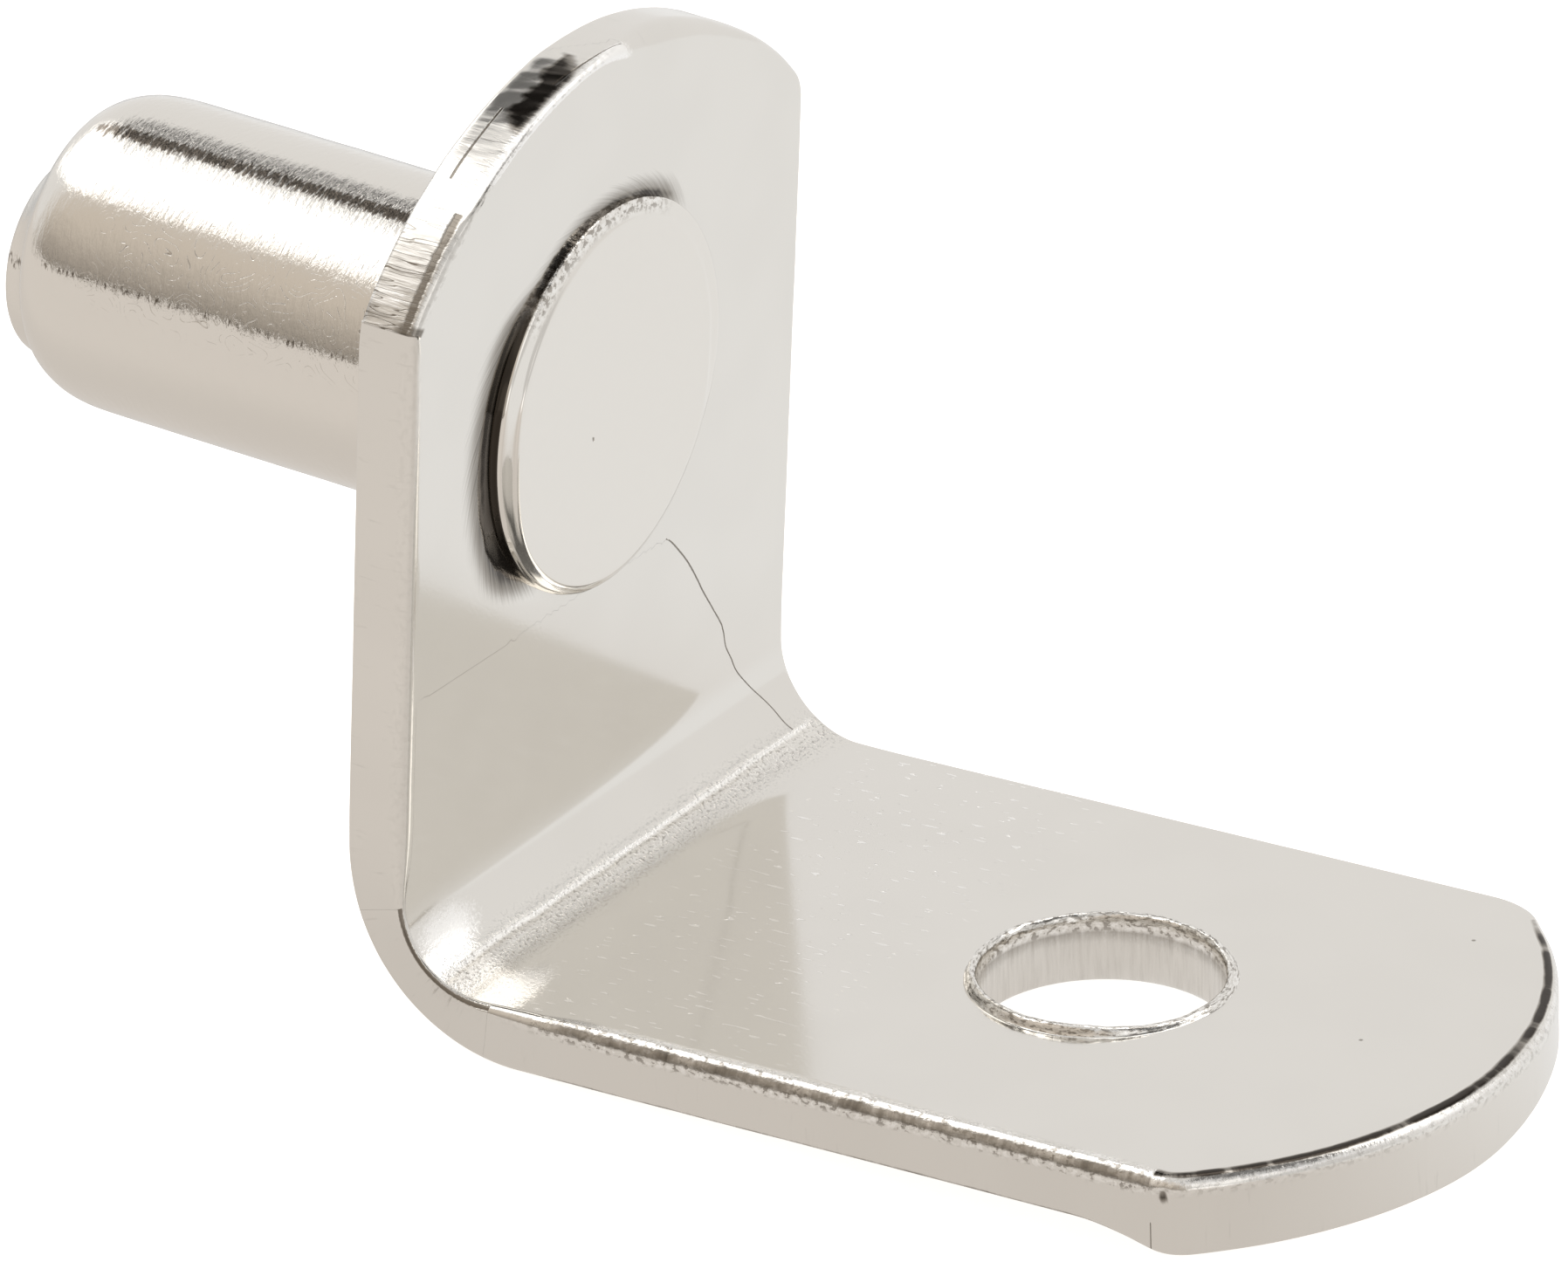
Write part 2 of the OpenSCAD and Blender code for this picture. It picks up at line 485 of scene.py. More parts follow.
@dataclass(frozen=True)
class StripNickel(Nickel):
    """Bright nickel plate on the punched strip.

    Flat faces are nearly mirror-smooth with a few short scratches. Sheared edges are streaked
    through the thickness, chipped rims are speckled, dark and with painted glints, the line that
    the folding tool left is frosted and has a painted highlight, and the edges' lips have painted
    highlights. The dish round the rivet holds painted shade with dark deposits, and the screw
    hole's wall has painted shade.
    """

    # Black: the deepest painted shade round the rivet's head, and the darkest deposits on the edges.
    black: Colour = (0.035, 0.028, 0.022, 1.0)
    face_roughness: float = 0.12
    edge_roughness: float = 0.18
    galled_roughness: float = 0.30
    roughness_drift: float = 0.01
    line_half: float = 0.034
    pits: tuple[tuple[float, float], ...] = ((15.36, 3.82), (15.55, 0.04))
    pit_r: float = 0.045

    def layers(self, g: Graph) -> tuple[Link, Link, Link]:
        """The plate, its marks of use, and the highlights and shade painted into it.

        Args:
            g: The material's graph.

        Returns:
            The colour, the roughness and the relief in millimetres.
        """
        flat, edge = g.attribute(Surface.FLAT, vector=True), g.attribute(Surface.EDGE, vector=True)
        shear, chipped = g.attribute(Surface.SHEAR), g.attribute(Surface.CHIPPED)
        galled, scored = g.attribute(Surface.GALLED_AND_DARK_REFLECTION), g.attribute(Surface.SCORED)

        streaks = g.noise(g.stretched(edge, 11.0, 1.6), 1.0, 3.0, 0.6)
        contours = g.noise(g.stretched(edge, 9.0, 0.9), 1.0, 1.0, 0.5)
        striae = g.eased(abs(contours - 0.5), 0.030, 0.008)
        chips = g.noise(g.stretched(edge, 7.5, 11.0), 1.0, 3.0, 0.6)
        grain = g.noise(flat, 15.0, 2.5, 0.65)
        clouds = g.noise(flat, 0.5, 1.0)
        dashes = self.dashes(g, flat)
        gap = abs(g.attribute(Surface.LINE)) + (grain - 0.5) * 0.02
        line = g.eased(gap, self.line_half, self.line_half - 0.018)
        # shine: painted highlights from the bright_place mark.
        shine = g.eased(g.attribute(Surface.BRIGHT) + (grain - 0.5) * 0.7, 0.12, 0.72)

        tone = g.blend(g.eased(clouds, 0.35, 0.7, 0.0, 0.015), self.colour, self.brown)
        # Painted highlights, painted glints on chipped rims and the bright scratches turn the colour near
        # white.
        light = shine.larger(self.painted_glints(g, chipped, chips)).larger(dashes * 0.7)
        tone = g.blend(light, tone, self.highlight_and_frost)
        darkening = chipped * g.eased(chips, 0.54, 0.61, 0.0, 0.80)
        darkening = darkening.larger(scored * striae * 0.9).larger(scored * g.eased(streaks, 0.42, 0.72, 0.12, 0.50))
        darkening = darkening.larger(shear * g.eased(streaks, 0.62, 0.80, 0.0, 0.08))
        darkening = darkening.larger(galled * g.eased(grain, 0.55, 0.66, 0.0, 0.50))
        for pit in self.pits:
            darkening = darkening.larger(g.spot(flat, pit, self.pit_r) * 0.7)
        # Painted shade and dark deposits from the groove mark: a brown layer, then black where it is
        # strongest.
        brown_shade_and_haze, black_shade_and_soot = self.painted_shade_and_residue(g, streaks)
        tone = g.blend(darkening.larger(line * 0.88).larger(brown_shade_and_haze), tone, self.brown)
        tone = g.blend(black_shade_and_soot * 0.97, tone, self.black)

        drift = self.roughness_drift
        rough = g.eased(clouds, 0.3, 0.7, self.face_roughness - drift, self.face_roughness + drift)
        rough = rough + (self.edge_roughness - self.face_roughness) * shear
        rough = rough + (self.galled_roughness - self.face_roughness) * galled.larger(scored).larger(shine)

        relief = grain * (0.0003 + galled * 0.010 + shine * 0.004)
        relief = relief + streaks * (shear * 0.0010 + scored * 0.005) + chips * chipped * 0.007
        relief = relief - dashes * 0.003 - line * 0.008 - striae * scored * 0.003
        return tone, rough, relief

    @staticmethod
    def dashes(g: Graph, flat: Link) -> Link:
        """Short bright scratches on the inner face, where the foot leaves the fold.

        Args:
            g: The material's graph.
            flat: The developed place.

        Returns:
            How much of a scratch there is, from 0 to 1.
        """
        run, depth = g.dot(flat, Vector((1, 0, 0))), g.dot(flat, Vector((0, 0, 1)))
        here = g.eased(run, 3.4, 4.4) * g.eased(run, 9.0, 7.0) * g.eased(depth, 0.76, 0.90)
        return g.eased(g.noise(g.stretched(flat, 3.2, 13.0), 1.0, 0.0), 0.79, 0.82) * here

    @staticmethod
    def painted_shade_and_residue(g: Graph, streaks: Link) -> tuple[Link, Link]:
        """The painted shade and dark deposits that the groove mark holds.

        Args:
            g: The material's graph.
            streaks: The noise that breaks its border.

        Returns:
            Its thin brown layer, and the black within it.
        """
        groove = g.attribute(Surface.GROOVE)
        inside = g.eased(groove, 0.0, 0.15)
        brown_shade_and_haze = inside * g.eased(groove + (streaks - 0.5) * 0.30, 0.06, 0.62, 0.0, 0.78)
        black_shade_and_soot = inside * g.eased(groove + (streaks - 0.5) * 0.55, 0.52, 0.96)
        return brown_shade_and_haze, black_shade_and_soot


@dataclass(frozen=True)
class PinNickel(Nickel):
    """Bright nickel plate on the pin, with drawing marks round it, fine curved scratches and painted light.
    """

    colour: Colour = (0.80, 0.77, 0.72, 1.0)
    brown: Colour = (0.16, 0.13, 0.10, 1.0)
    roughness: float = 0.085
    scratch_lines: float = 15.0

    def layers(self, g: Graph) -> tuple[Link, Link, Link]:
        """The plate, its marks of use, and the highlights and dark reflections painted into it.

        Args:
            g: The material's graph.

        Returns:
            The colour, the roughness and the relief in millimetres.
        """
        flat = g.attribute(Surface.FLAT, vector=True)
        shear, chipped = g.attribute(Surface.SHEAR), g.attribute(Surface.CHIPPED)

        draw = g.noise(g.stretched(flat, 10.0, 3.0), 1.0, 4.0, 0.65)
        mottle = g.noise(flat, 5.0, 3.0, 0.6)
        waves = g.noise(flat, 1.1, 1.0) * self.scratch_lines
        curls = g.node("ShaderNodeMath", {"operation": "PINGPONG"}, {0: waves, 1: 0.5})
        scratches = g.eased(curls, 0.055, 0.020) * g.attribute(Surface.SCORED) * g.eased(mottle, 0.46, 0.54)
        hairs = g.noise(g.stretched(flat, 16.0, 4.0), 1.0, 3.0, 0.6)
        # Painted dark reflection streaks along the shank, and a darker band on the boss.
        wear_and_light_marks = g.eased(g.attribute(Surface.GALLED_AND_DARK_REFLECTION) + (hairs - 0.5) * 1.3, 0.44, 0.72, 0.0, 0.92)
        chips = g.noise(flat, 9.0, 3.0, 0.6)
        pip = g.eased(abs(g.attribute(Surface.LINE)), 0.06, 0.03)
        # Painted highlights from the bright_place mark.
        shine = g.eased(g.attribute(Surface.BRIGHT) + (mottle - 0.5) * 1.6, 0.55, 0.80)

        tone = g.blend(shine.larger(self.painted_glints(g, chipped, chips)), self.colour, self.highlight_and_frost)
        darkening = chipped * g.eased(chips, 0.50, 0.58, 0.0, 0.92)
        darkening = darkening.larger(scratches * 0.48).larger(pip * 0.75).larger(wear_and_light_marks)
        tone = g.blend(darkening, tone, self.brown)
        rough = self.roughness + g.eased(mottle, 0.4, 0.7, -0.01, 0.03)
        relief = draw * (0.0004 + 0.0080 * shear) + chips * chipped * 0.02 - scratches * 0.005 - pip * 0.02
        return tone, rough, relief


# ---------------------------------------------------------------------------------------------
# The folded strip
# ---------------------------------------------------------------------------------------------


@dataclass(frozen=True)
class FoldedStrip:
    """The strip's driving sizes, and the bend that takes its developed shape into the row frame."""

    half_w: float
    top_z: float
    low_z: float
    reach_x: float
    rise: float
    hole_x: float
    hole_z: float
    hole_r: float
    thick: float = 1.0
    end_r: float = 6.9
    fold_ro: float = 2.9
    fold_ri: float = 1.4

    @classmethod
    def from_frame(cls, record: dict[str, Any]) -> "FoldedStrip":
        """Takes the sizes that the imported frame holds.

        Args:
            record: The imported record.

        Returns:
            The strip.
        """
        low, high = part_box("bracket")
        hole = next(m for m in record["mounts"] if m["name"] == "screw_hole")
        rise = math.atan2(hole["axis"][0], -hole["axis"][2])
        return cls(
            half_w=high.y / MM,
            top_z=high.z / MM,
            low_z=low.z / MM,
            reach_x=high.x / MM,
            rise=rise,
            hole_x=hole["pos_m"][0] / MM,
            hole_z=hole["pos_m"][2] / MM,
            hole_r=hole["dims"]["r_mm"],
        )

    @property
    def turn(self) -> float:
        """How far the strip turns in the fold."""
        return math.pi / 2 + self.rise

    @property
    def centre(self) -> tuple[float, float]:
        """Centre of the fold's outer arc."""
        return self.fold_ro, self.low_z + self.fold_ro

    @property
    def lead(self) -> float:
        """Straight stretch of the inner face between the outer arc's end and the inner arc."""
        gap = self.fold_ro - self.thick - self.fold_ri
        return gap * (1 + math.sin(self.rise)) / math.cos(self.rise)

    @property
    def inner_len(self) -> float:
        """Length of the inner face through the fold."""
        return self.fold_ri * self.turn + 2 * self.lead

    @property
    def fold_len(self) -> float:
        """Developed length of the fold."""
        return (self.fold_ro * self.turn + self.inner_len) / 2

    @property
    def top_u(self) -> float:
        """Developed place of the rounded top."""
        return self.centre[1] - self.top_z

    @property
    def tip_u(self) -> float:
        """Developed place of the foot's tip."""
        foot = (self.reach_x - self.fold_ro * (1 + math.sin(self.rise))) / math.cos(self.rise)
        return self.fold_len + foot

    @property
    def hole_u(self) -> float:
        """Developed place of the screw hole."""
        across, up = self.hole_x - self.centre[0], self.hole_z - self.centre[1]
        return self.fold_len + across * math.cos(self.rise) + up * math.sin(self.rise)

    def height_u(self, z: float) -> float:
        """Developed place of a height on the upright leg."""
        return self.centre[1] - z

    def bend(self, u: Array, y: Array, w: Array) -> Array:
        """Takes developed coordinates into the row frame.

        Args:
            u: Along the strip.
            y: Across the strip.
            w: Into the strip from its outer face.

        Returns:
            One row of x, y and z for each point.
        """
        cx, cz = self.centre
        along = np.array([math.cos(self.rise), math.sin(self.rise)])
        share = np.clip(u / self.fold_len, 0, 1)
        angle = math.pi + self.turn * share
        outer = np.stack([cx + self.fold_ro * np.cos(angle), cz + self.fold_ro * np.sin(angle)], -1)

        run = share * self.inner_len
        bent = np.clip((run - self.lead) / self.fold_ri, 0, self.turn)
        inner_centre = np.array([self.thick + self.fold_ri, cz - self.lead])
        turned = math.pi + bent
        inner = inner_centre + self.fold_ri * np.stack([np.cos(turned), np.sin(turned)], -1)
        inner[..., 1] += np.maximum(self.lead - run, 0)
        inner += np.maximum(run - self.lead - self.fold_ri * self.turn, 0)[..., None] * along

        place = outer + (inner - outer) * (w / self.thick)[..., None]
        place[..., 1] += np.maximum(-u, 0)
        place += np.maximum(u - self.fold_len, 0)[..., None] * along
        return np.stack([place[..., 0], y, place[..., 1]], -1)


@dataclass(frozen=True)
class StripOutline:
    """The strip's developed outline as rings of samples, each at its own inset.

    The ring starts at the top corner on the near side and runs down that side, round the foot's
    end, back up the far side and round the top.
    """

    strip: FoldedStrip
    near_top_r: float = 0.05
    near_foot_r: float = 0.9
    far_top_r: float = 0.62
    far_foot_r: float = 1.4
    top_skew: float = 0.14
    fine: float = 0.036
    coarse: float = 0.10
    soft_corner: float = 1.2
    corner_steps: int = 6

    def _end(self, foot: bool) -> tuple[float, int, float]:
        """An end's arc.

        Args:
            foot: Whether it closes the foot.

        Returns:
            Its centre along u, the way it faces, and how far it lies to the far side.
        """
        if foot:
            return self.strip.tip_u - self.strip.end_r, 1, 0.0
        return self.strip.top_u + self.strip.end_r, -1, self.top_skew

    def _radius(self, near: bool, foot: bool) -> float:
        """How round a corner is.

        Args:
            near: Whether it is on the near side.
            foot: Whether it is on the foot.

        Returns:
            Its radius.
        """
        if near:
            return self.near_foot_r if foot else self.near_top_r
        return self.far_foot_r if foot else self.far_top_r

    def _corner(self, near: bool, foot: bool, inset: Array) -> tuple[Array, Array, Array]:
        """A rounded corner between an edge and an end arc, seen from the arc's centre.

        Args:
            near: Whether it is on the near side.
            foot: Whether it is on the foot.
            inset: How far inside the outline, for each sample.

        Returns:
            The corner's centre or mitre point, along and across, and the radius that is left.
        """
        r = self._radius(near, foot)
        sunk = np.maximum(inset, r)
        _, _, skew = self._end(foot)
        across = self.strip.half_w - sunk + (skew if near else -skew)
        along = np.sqrt((self.strip.end_r - sunk) ** 2 - across ** 2)
        return along, across, np.maximum(r - inset, 0)

    def _counts(self) -> list[tuple[str, int]]:
        """Counts the outline's samples.

        Returns:
            Its stretches in order, with their numbers of samples.
        """
        length, end_r = self._edge_length(), self.strip.end_r
        arc = int(2 * math.asin(self.strip.half_w / end_r) * end_r / self.fine)
        soft = int(self.soft_corner / self.fine)
        return [
            ("near_edge", int(length / self.fine)),
            ("near_foot", soft // 2),
            ("foot_arc", arc),
            ("far_foot", soft),
            ("far_edge", int(length / self.coarse)),
            ("far_top", soft),
            ("top_arc", arc),
            ("near_top", self.corner_steps),
        ]

    def _edge_length(self) -> float:
        """Measures a straight side.

        Returns:
            Its length between its two corners.
        """
        reach, _, _ = self._corner(True, True, np.zeros(1))
        return float(self._end(True)[0] - self._end(False)[0] + 2 * reach[0])

    @property
    def size(self) -> int:
        """The number of samples in a ring."""
        return sum(count for _, count in self._counts())

    def stretches(self) -> dict[str, slice]:
        """Finds the stretches in a ring.

        Returns:
            The samples that each stretch has.
        """
        found, start = {}, 0
        for name, count in self._counts():
            found[name] = slice(start, start + count)
            start += count
        return found

    def ring(self, inset: Array) -> Array:
        """One ring of samples.

        Args:
            inset: How far inside the outline each sample lies.

        Returns:
            One row of u and y for each sample.
        """
        inset = np.broadcast_to(np.asarray(inset, float), (self.size,))
        out = np.zeros((self.size, 2))
        for name, part in self.stretches().items():
            t = (np.arange(part.stop - part.start) + 0.5) / (part.stop - part.start)
            place, kind = name.split("_")
            if kind == "edge":
                out[part] = self._straight(place == "near", t, inset[part])
            elif kind == "arc":
                out[part] = self._arc(place == "foot", t, inset[part])
            else:
                out[part] = self._turn(place == "near", kind == "foot", t, inset[part])
        return out

    def _straight(self, near: bool, t: Array, d: Array) -> Array:
        """Samples along a straight side.

        Args:
            near: Whether it is the near side.
            t: How far along the stretch each sample lies, from 0 to 1.
            d: Its inset.

        Returns:
            One row of u and y each.
        """
        ends = []
        for foot in (False, True):
            centre, way, _ = self._end(foot)
            along, _, _ = self._corner(near, foot, d)
            ends.append(centre + way * along)
        share = t if near else 1 - t
        side = -1 if near else 1
        return np.stack([ends[0] + (ends[1] - ends[0]) * share, side * (self.strip.half_w - d)], -1)

    def _arc(self, foot: bool, t: Array, d: Array) -> Array:
        """Samples along an end arc, from near to far on the foot and back on the top.

        Args:
            foot: Whether it closes the foot.
            t: How far along the stretch each sample lies, from 0 to 1.
            d: Its inset.

        Returns:
            One row of u and y each.
        """
        centre, way, skew = self._end(foot)
        angles = []
        for near in (True, False):
            along, across, _ = self._corner(near, foot, d)
            angles.append(np.arctan2(across, along))
        share = t if foot else 1 - t
        angle = -angles[0] + (angles[0] + angles[1]) * share
        radius = self.strip.end_r - d
        across = radius * np.sin(angle) + skew
        return np.stack([centre + way * radius * np.cos(angle), across], -1)

    def _turn(self, near: bool, foot: bool, t: Array, d: Array) -> Array:
        """Samples round a corner.

        Args:
            near: Whether it is on the near side.
            foot: Whether it is on the foot.
            t: How far along the stretch each sample lies, from 0 to 1.
            d: Its inset.

        Returns:
            One row of u and y each.
        """
        centre, way, skew = self._end(foot)
        along, across, left = self._corner(near, foot, d)
        stop = np.arctan2(across, along)
        leaving_edge = near == foot
        share = t if leaving_edge else 1 - t
        angle = math.pi / 2 + (stop - math.pi / 2) * share
        side = -1 if near else 1
        u = centre + way * (along + left * np.cos(angle))
        return np.stack([u, side * (across + left * np.sin(angle)) + skew], -1)

    def depth(self, u: Array, y: Array) -> Array:
        """How far points lie inside the outline, for points well inside it.

        Args:
            u: Their places along the strip.
            y: Their places across it.

        Returns:
            Their least distance to the outline.
        """
        inside = self.strip.half_w - np.abs(y)
        for foot in (False, True):
            centre, way, skew = self._end(foot)
            ahead = way * (u - centre)
            across_arc = y - skew
            arc = self.strip.end_r - np.hypot(ahead, across_arc)
            inside = np.where(ahead > 0, np.minimum(inside, arc), inside)
            for near in (True, False):
                r, side = self._radius(near, foot), (-1 if near else 1)
                along, across, _ = self._corner(near, foot, np.zeros(1))
                beyond = (ahead > along[0]) & (side * across_arc > across[0])
                soft = r - np.hypot(ahead - along[0], side * across_arc - across[0])
                inside = np.where(beyond, np.minimum(inside, soft), inside)
        return inside


@dataclass
class ShearedEdge:
    """The strip's punched edge: the rounding of its two rims, its marks of use and its painted highlights.

    All places are in millimetres: u along the strip, y across it with the near side below 0,
    and w through it from the outer face.
    """

    outline: StripOutline
    leg_rim: float = 0.22
    foot_rim: float = 0.26
    fold_rim_loss: float = 0.12
    cut_rim: float = 0.06
    end_rim: float = 0.21
    top_rim: float = 0.34
    outer_rim: float = 0.11
    lip_angle: float = math.radians(27)
    rim_rows: int = 8
    wall_rows: int = 9
    bulge: float = 0.06
    tear_y: float = -1.45
    tear_reach: tuple[float, float] = (0.95, 0.60)
    pit_along: float = 0.20
    pit_w: float = 0.74
    pit_depth: float = 0.035

    def __post_init__(self) -> None:
        """Lays out the samples that the methods share.

        Each has its place u and y, its distance along the outline, and the same counted from
        the near corner of the foot.
        """
        self.fold = self.outline.strip.fold_len
        self.thick = self.outline.strip.thick
        self.base = self.outline.ring(0.0)
        self.u, self.y = self.base.T
        self.along = path_length(self.base)
        corner = self.along[self.outline.stretches()["near_foot"].start]
        self.past_corner = self.along - corner

    def on(self, *names: str) -> Array:
        """Picks out stretches of the outline.

        Args:
            names: The stretches.

        Returns:
            1 for each sample on one of them, and 0 elsewhere.
        """
        found = np.zeros(self.outline.size)
        stretches = self.outline.stretches()
        for name in names:
            found[stretches[name]] = 1.0
        return found

    @staticmethod
    def softened(values: Array, reach: int = 14) -> Array:
        """Blends an outline's values into each other where they jump.

        Args:
            values: One value for each sample.
            reach: How many samples to each side take part.

        Returns:
            The blended values.
        """
        kernel = np.hanning(2 * reach + 1)
        padded = np.concatenate([values[-reach:], values, values[:reach]])
        return np.convolve(padded, kernel / kernel.sum(), "valid")

    # Its shape -------------------------------------------------------------------------------

    def rims(self, along: Array) -> tuple[Array, Array]:
        """The rounding of the edge's two rims.

        Args:
            along: Where on the outline each sample takes its small random change from.

        Returns:
            The radius of the inner rim and of the outer rim, for each sample.
        """
        u, y, fold = self.u, self.y, self.fold
        near, top = self.on("near_edge"), self.on("top_arc", "far_top")
        end = self.on("near_foot", "foot_arc")
        rest = 1 - near - top - end
        foot = smooth(u, fold - 0.5, fold + 1.2)
        near_edge = self.leg_rim * (1 - foot) + self.foot_rim * foot
        near_edge = near_edge - self.fold_rim_loss * hump(u, fold * 0.5, fold * 0.75)
        far_half = self.top_rim * smooth(y, -0.6, 1.4) * (1 - 0.9 * smooth(y, 2.8, 4.7))
        top_arc = self.cut_rim + 0.12 * smooth(y, -3.8, -4.3) + far_half
        end_arc = self.end_rim - 0.06 * smooth(y, 2.5, 5.0)
        inner = near * near_edge + top * top_arc + end * end_arc + rest * self.cut_rim
        inner = self.softened(inner) * (1 + 0.10 * Grain(21).fine(along * 0.8))
        outer = self.outer_rim + 0.10 * rest - 0.06 * self.on("foot_arc", "near_foot", "far_foot")
        outer = outer - 0.06 * near * smooth(u, 0.5, -0.5)
        outer = self.softened(outer) * (1 + 0.1 * Grain(22).fine(along * 0.5))
        return inner, outer

    def sharpness(self) -> Array:
        """Where the inner rim starts with a sharp lip: along the foot's near side."""
        return self.softened(self.on("near_edge") * smooth(self.u, self.fold, self.fold + 1.0), 6)

    def chipping(self) -> Array:
        """How chipped the inner rim is: most along the foot's near side.

        Returns:
            The amount for each sample, from 0 to 1.
        """
        near = self.on("near_edge") * (0.05 + 0.80 * smooth(self.u, self.fold - 0.2, self.fold + 1.0))
        end = self.on("near_foot", "foot_arc") * smooth(self.y, 4.2, 1.5) * 0.30
        top = self.on("top_arc") * smooth(self.y, 0.2, -1.0) * (0.35 - 0.20 * smooth(self.y, -3.4, -4.2))
        return self.softened(near + end + top)

    def rows(self) -> list[tuple[Array, Array, Array]]:
        """The edge's plain section, from the inner face to the outer face.

        Returns:
            For each row, its inset, its depth w and its distance round the section.
        """
        t = self.thick
        inner_r, outer_r = self.rims(self.along)
        sharp = self.sharpness()
        first = self.lip_angle * sharp
        rows: list[tuple[Array, Array, Array]] = []
        for index in range(self.rim_rows + 1):
            even = index / self.rim_rows
            held = max((index - 1) / (self.rim_rows - 1), 0.02 * (index > 0))
            a = first + (math.pi / 2 - first) * (even * (1 - sharp) + held * sharp)
            inset = inner_r * (1 - np.sin(a)) / np.cos(first)
            rows.append((inset, t - inner_r * (1 - np.cos(a) / np.cos(first)), inner_r * a))
        wall = t - inner_r - outer_r
        for share in np.arange(1, self.wall_rows) / self.wall_rows:
            rows.append((0 * inner_r, t - inner_r - wall * share, inner_r * math.pi / 2 + wall * share))
        for a in np.linspace(math.pi / 2, 0, self.rim_rows + 1):
            run = (inner_r + outer_r) * math.pi / 2 + wall - outer_r * a
            rows.append((outer_r * (1 - math.sin(a)), outer_r * (1 - math.cos(a)), run))
        return rows

    def relief(self, w: Array) -> tuple[Array, Array]:
        """How far a row's surface is pushed out and lifted from its plain shape.

        Args:
            w: The row's depth in the strip.

        Returns:
            The push away from the strip, and the lift towards the inner face.
        """
        t, along = self.thick, self.along
        push = 0.004 * Grain(31).fine(along * 1.6, w * 2.0)
        lift = np.zeros_like(push)
        sheared = self.on("top_arc") * smooth(self.y, 0.6, -0.8)
        streak = Grain(33).fine(along * 7 + w * 2.2, w * 1.1)
        facet = Grain(34).at(along * 1.9, w * 0.8)
        calm = 0.35 + 0.65 * smooth(self.y, -4.8, -3.8)
        push = push + sheared * calm * (0.006 * streak + 0.012 * facet)
        in_fold = self.on("near_edge", "far_edge") * hump(self.u, self.fold * 0.5, self.fold * 0.62)
        push = push + self.bulge * in_fold * smooth(w, t * 0.35, t)
        pit = smooth(np.hypot(self.past_corner - self.pit_along, (w - self.pit_w) * 1.2), 0.13, 0.03)
        push = push - self.pit_depth * pit
        chip = self.chipping() * smooth(w, t - 0.36, t - 0.16)
        push = push + chip * 0.007 * Grain(35).fine(along * 7, w * 6)
        lift = lift + chip * 0.006 * Grain(36).fine(along * 7, w * 5)
        return push, lift

    # Its marks of use and painted highlights -----------------------------------------------------

    def wear_and_light(self, inset: Array, share: Array, w: Array) -> dict[Surface, Array]:
        """A row's marks.

        Args:
            inset: How far inside the outline the row lies.
            share: The same, in inner rim roundings.
            w: The row's depth in the strip.

        Returns:
            The values of the marks that the edge sets itself.
        """
        inner_r, _ = self.rims(self.along)
        chipping = self.chipping()
        on_wall = smooth(inset, inner_r * 0.9, inner_r * 0.3)
        on_rim = smooth(w, self.thick - inner_r * 1.25, self.thick - inner_r * 0.9)
        on_rim = chipping * on_rim * smooth(inset, inner_r, inner_r * 0.8)
        ragged = Grain(71).fine(self.along * 3.0, w * 3.0)
        return {
            Surface.SHEAR: on_wall * (1 - chipping * 0.6),
            Surface.CHIPPED: on_rim,
            Surface.SCORED: self._scored(w),
            Surface.GROOVE: np.maximum(self._tear(w), self._dark_places(share, w, ragged)),
            Surface.LINE: self._lines(w, ragged),
            # Painted highlights along the edge's lips and at the top's corner.
            Surface.BRIGHT: self._bright(share, w, ragged),
        }

    def _scored(self, w: Array) -> Array:
        """Where the top arc is scored through its thickness, most at its near end."""
        patches = smooth(self.y, -4.0, -4.7) + 0.30 * band(self.y, (-5.0, -4.0), (-3.2, -2.2))
        return self.on("top_arc", "near_top") * patches * smooth(w, 0.96, 0.80)

    def _tear(self, w: Array) -> Array:
        """The dark torn patch on the top arc.

        Args:
            w: The row's depth in the strip.

        Returns:
            How dark it is at each sample.
        """
        broken = Grain(72).fine(self.along * 2.6 + w * 2.0, w * 2.4)
        slant = self.y + 0.9 * (w - 0.6) + 0.25 * broken
        tear = smooth(np.abs(slant - self.tear_y), *self.tear_reach) * smooth(broken, -0.50, -0.20)
        tear = tear * smooth(w + 0.12 * broken, 0.36, 0.46) * smooth(w, 0.92, 0.80)
        flakes = 0.80 + 0.30 * Grain(73).fine(self.along * 4.0 - w * 3.0, w * 5.0)
        return 1.3 * self.on("top_arc", "near_top") * tear * flakes

    def _dark_places(self, share: Array, w: Array, ragged: Array) -> Array:
        """Darker places: at the top's near corner, in the pit, along the foot's end and under its near lip.

        Args:
            share: How far inside the outline the row lies, in inner rim roundings.
            w: The row's depth in the strip.
            ragged: Noise that breaks the borders.

        Returns:
            How dark it is at each sample.
        """
        y, on_foot = self.y, smooth(self.u, self.fold, self.fold + 1.0)
        corner = smooth(y + 0.05 * ragged, -5.24, -5.31) * smooth(w, 0.45, 0.75)
        corner = 0.62 * self.on("top_arc", "near_top") * corner
        gap = np.hypot((self.past_corner - self.pit_along) * 1.2, w - self.pit_w + 0.02 + 0.03 * ragged)
        pit = 0.8 * smooth(gap, 0.11, 0.04)
        end_line = smooth(share, 0.42, 0.66) * (1 + 0.8 * ragged) * smooth(y, 5.4, 4.0)
        end_line = 1.05 * self.on("foot_arc", "near_foot") * end_line
        near_rim = 0.46 * self.on("near_edge") * on_foot * band(share, (0.0, 0.12), (0.55, 0.74))
        return np.maximum.reduce([corner, pit, end_line, near_rim * (1 + 0.6 * ragged)])

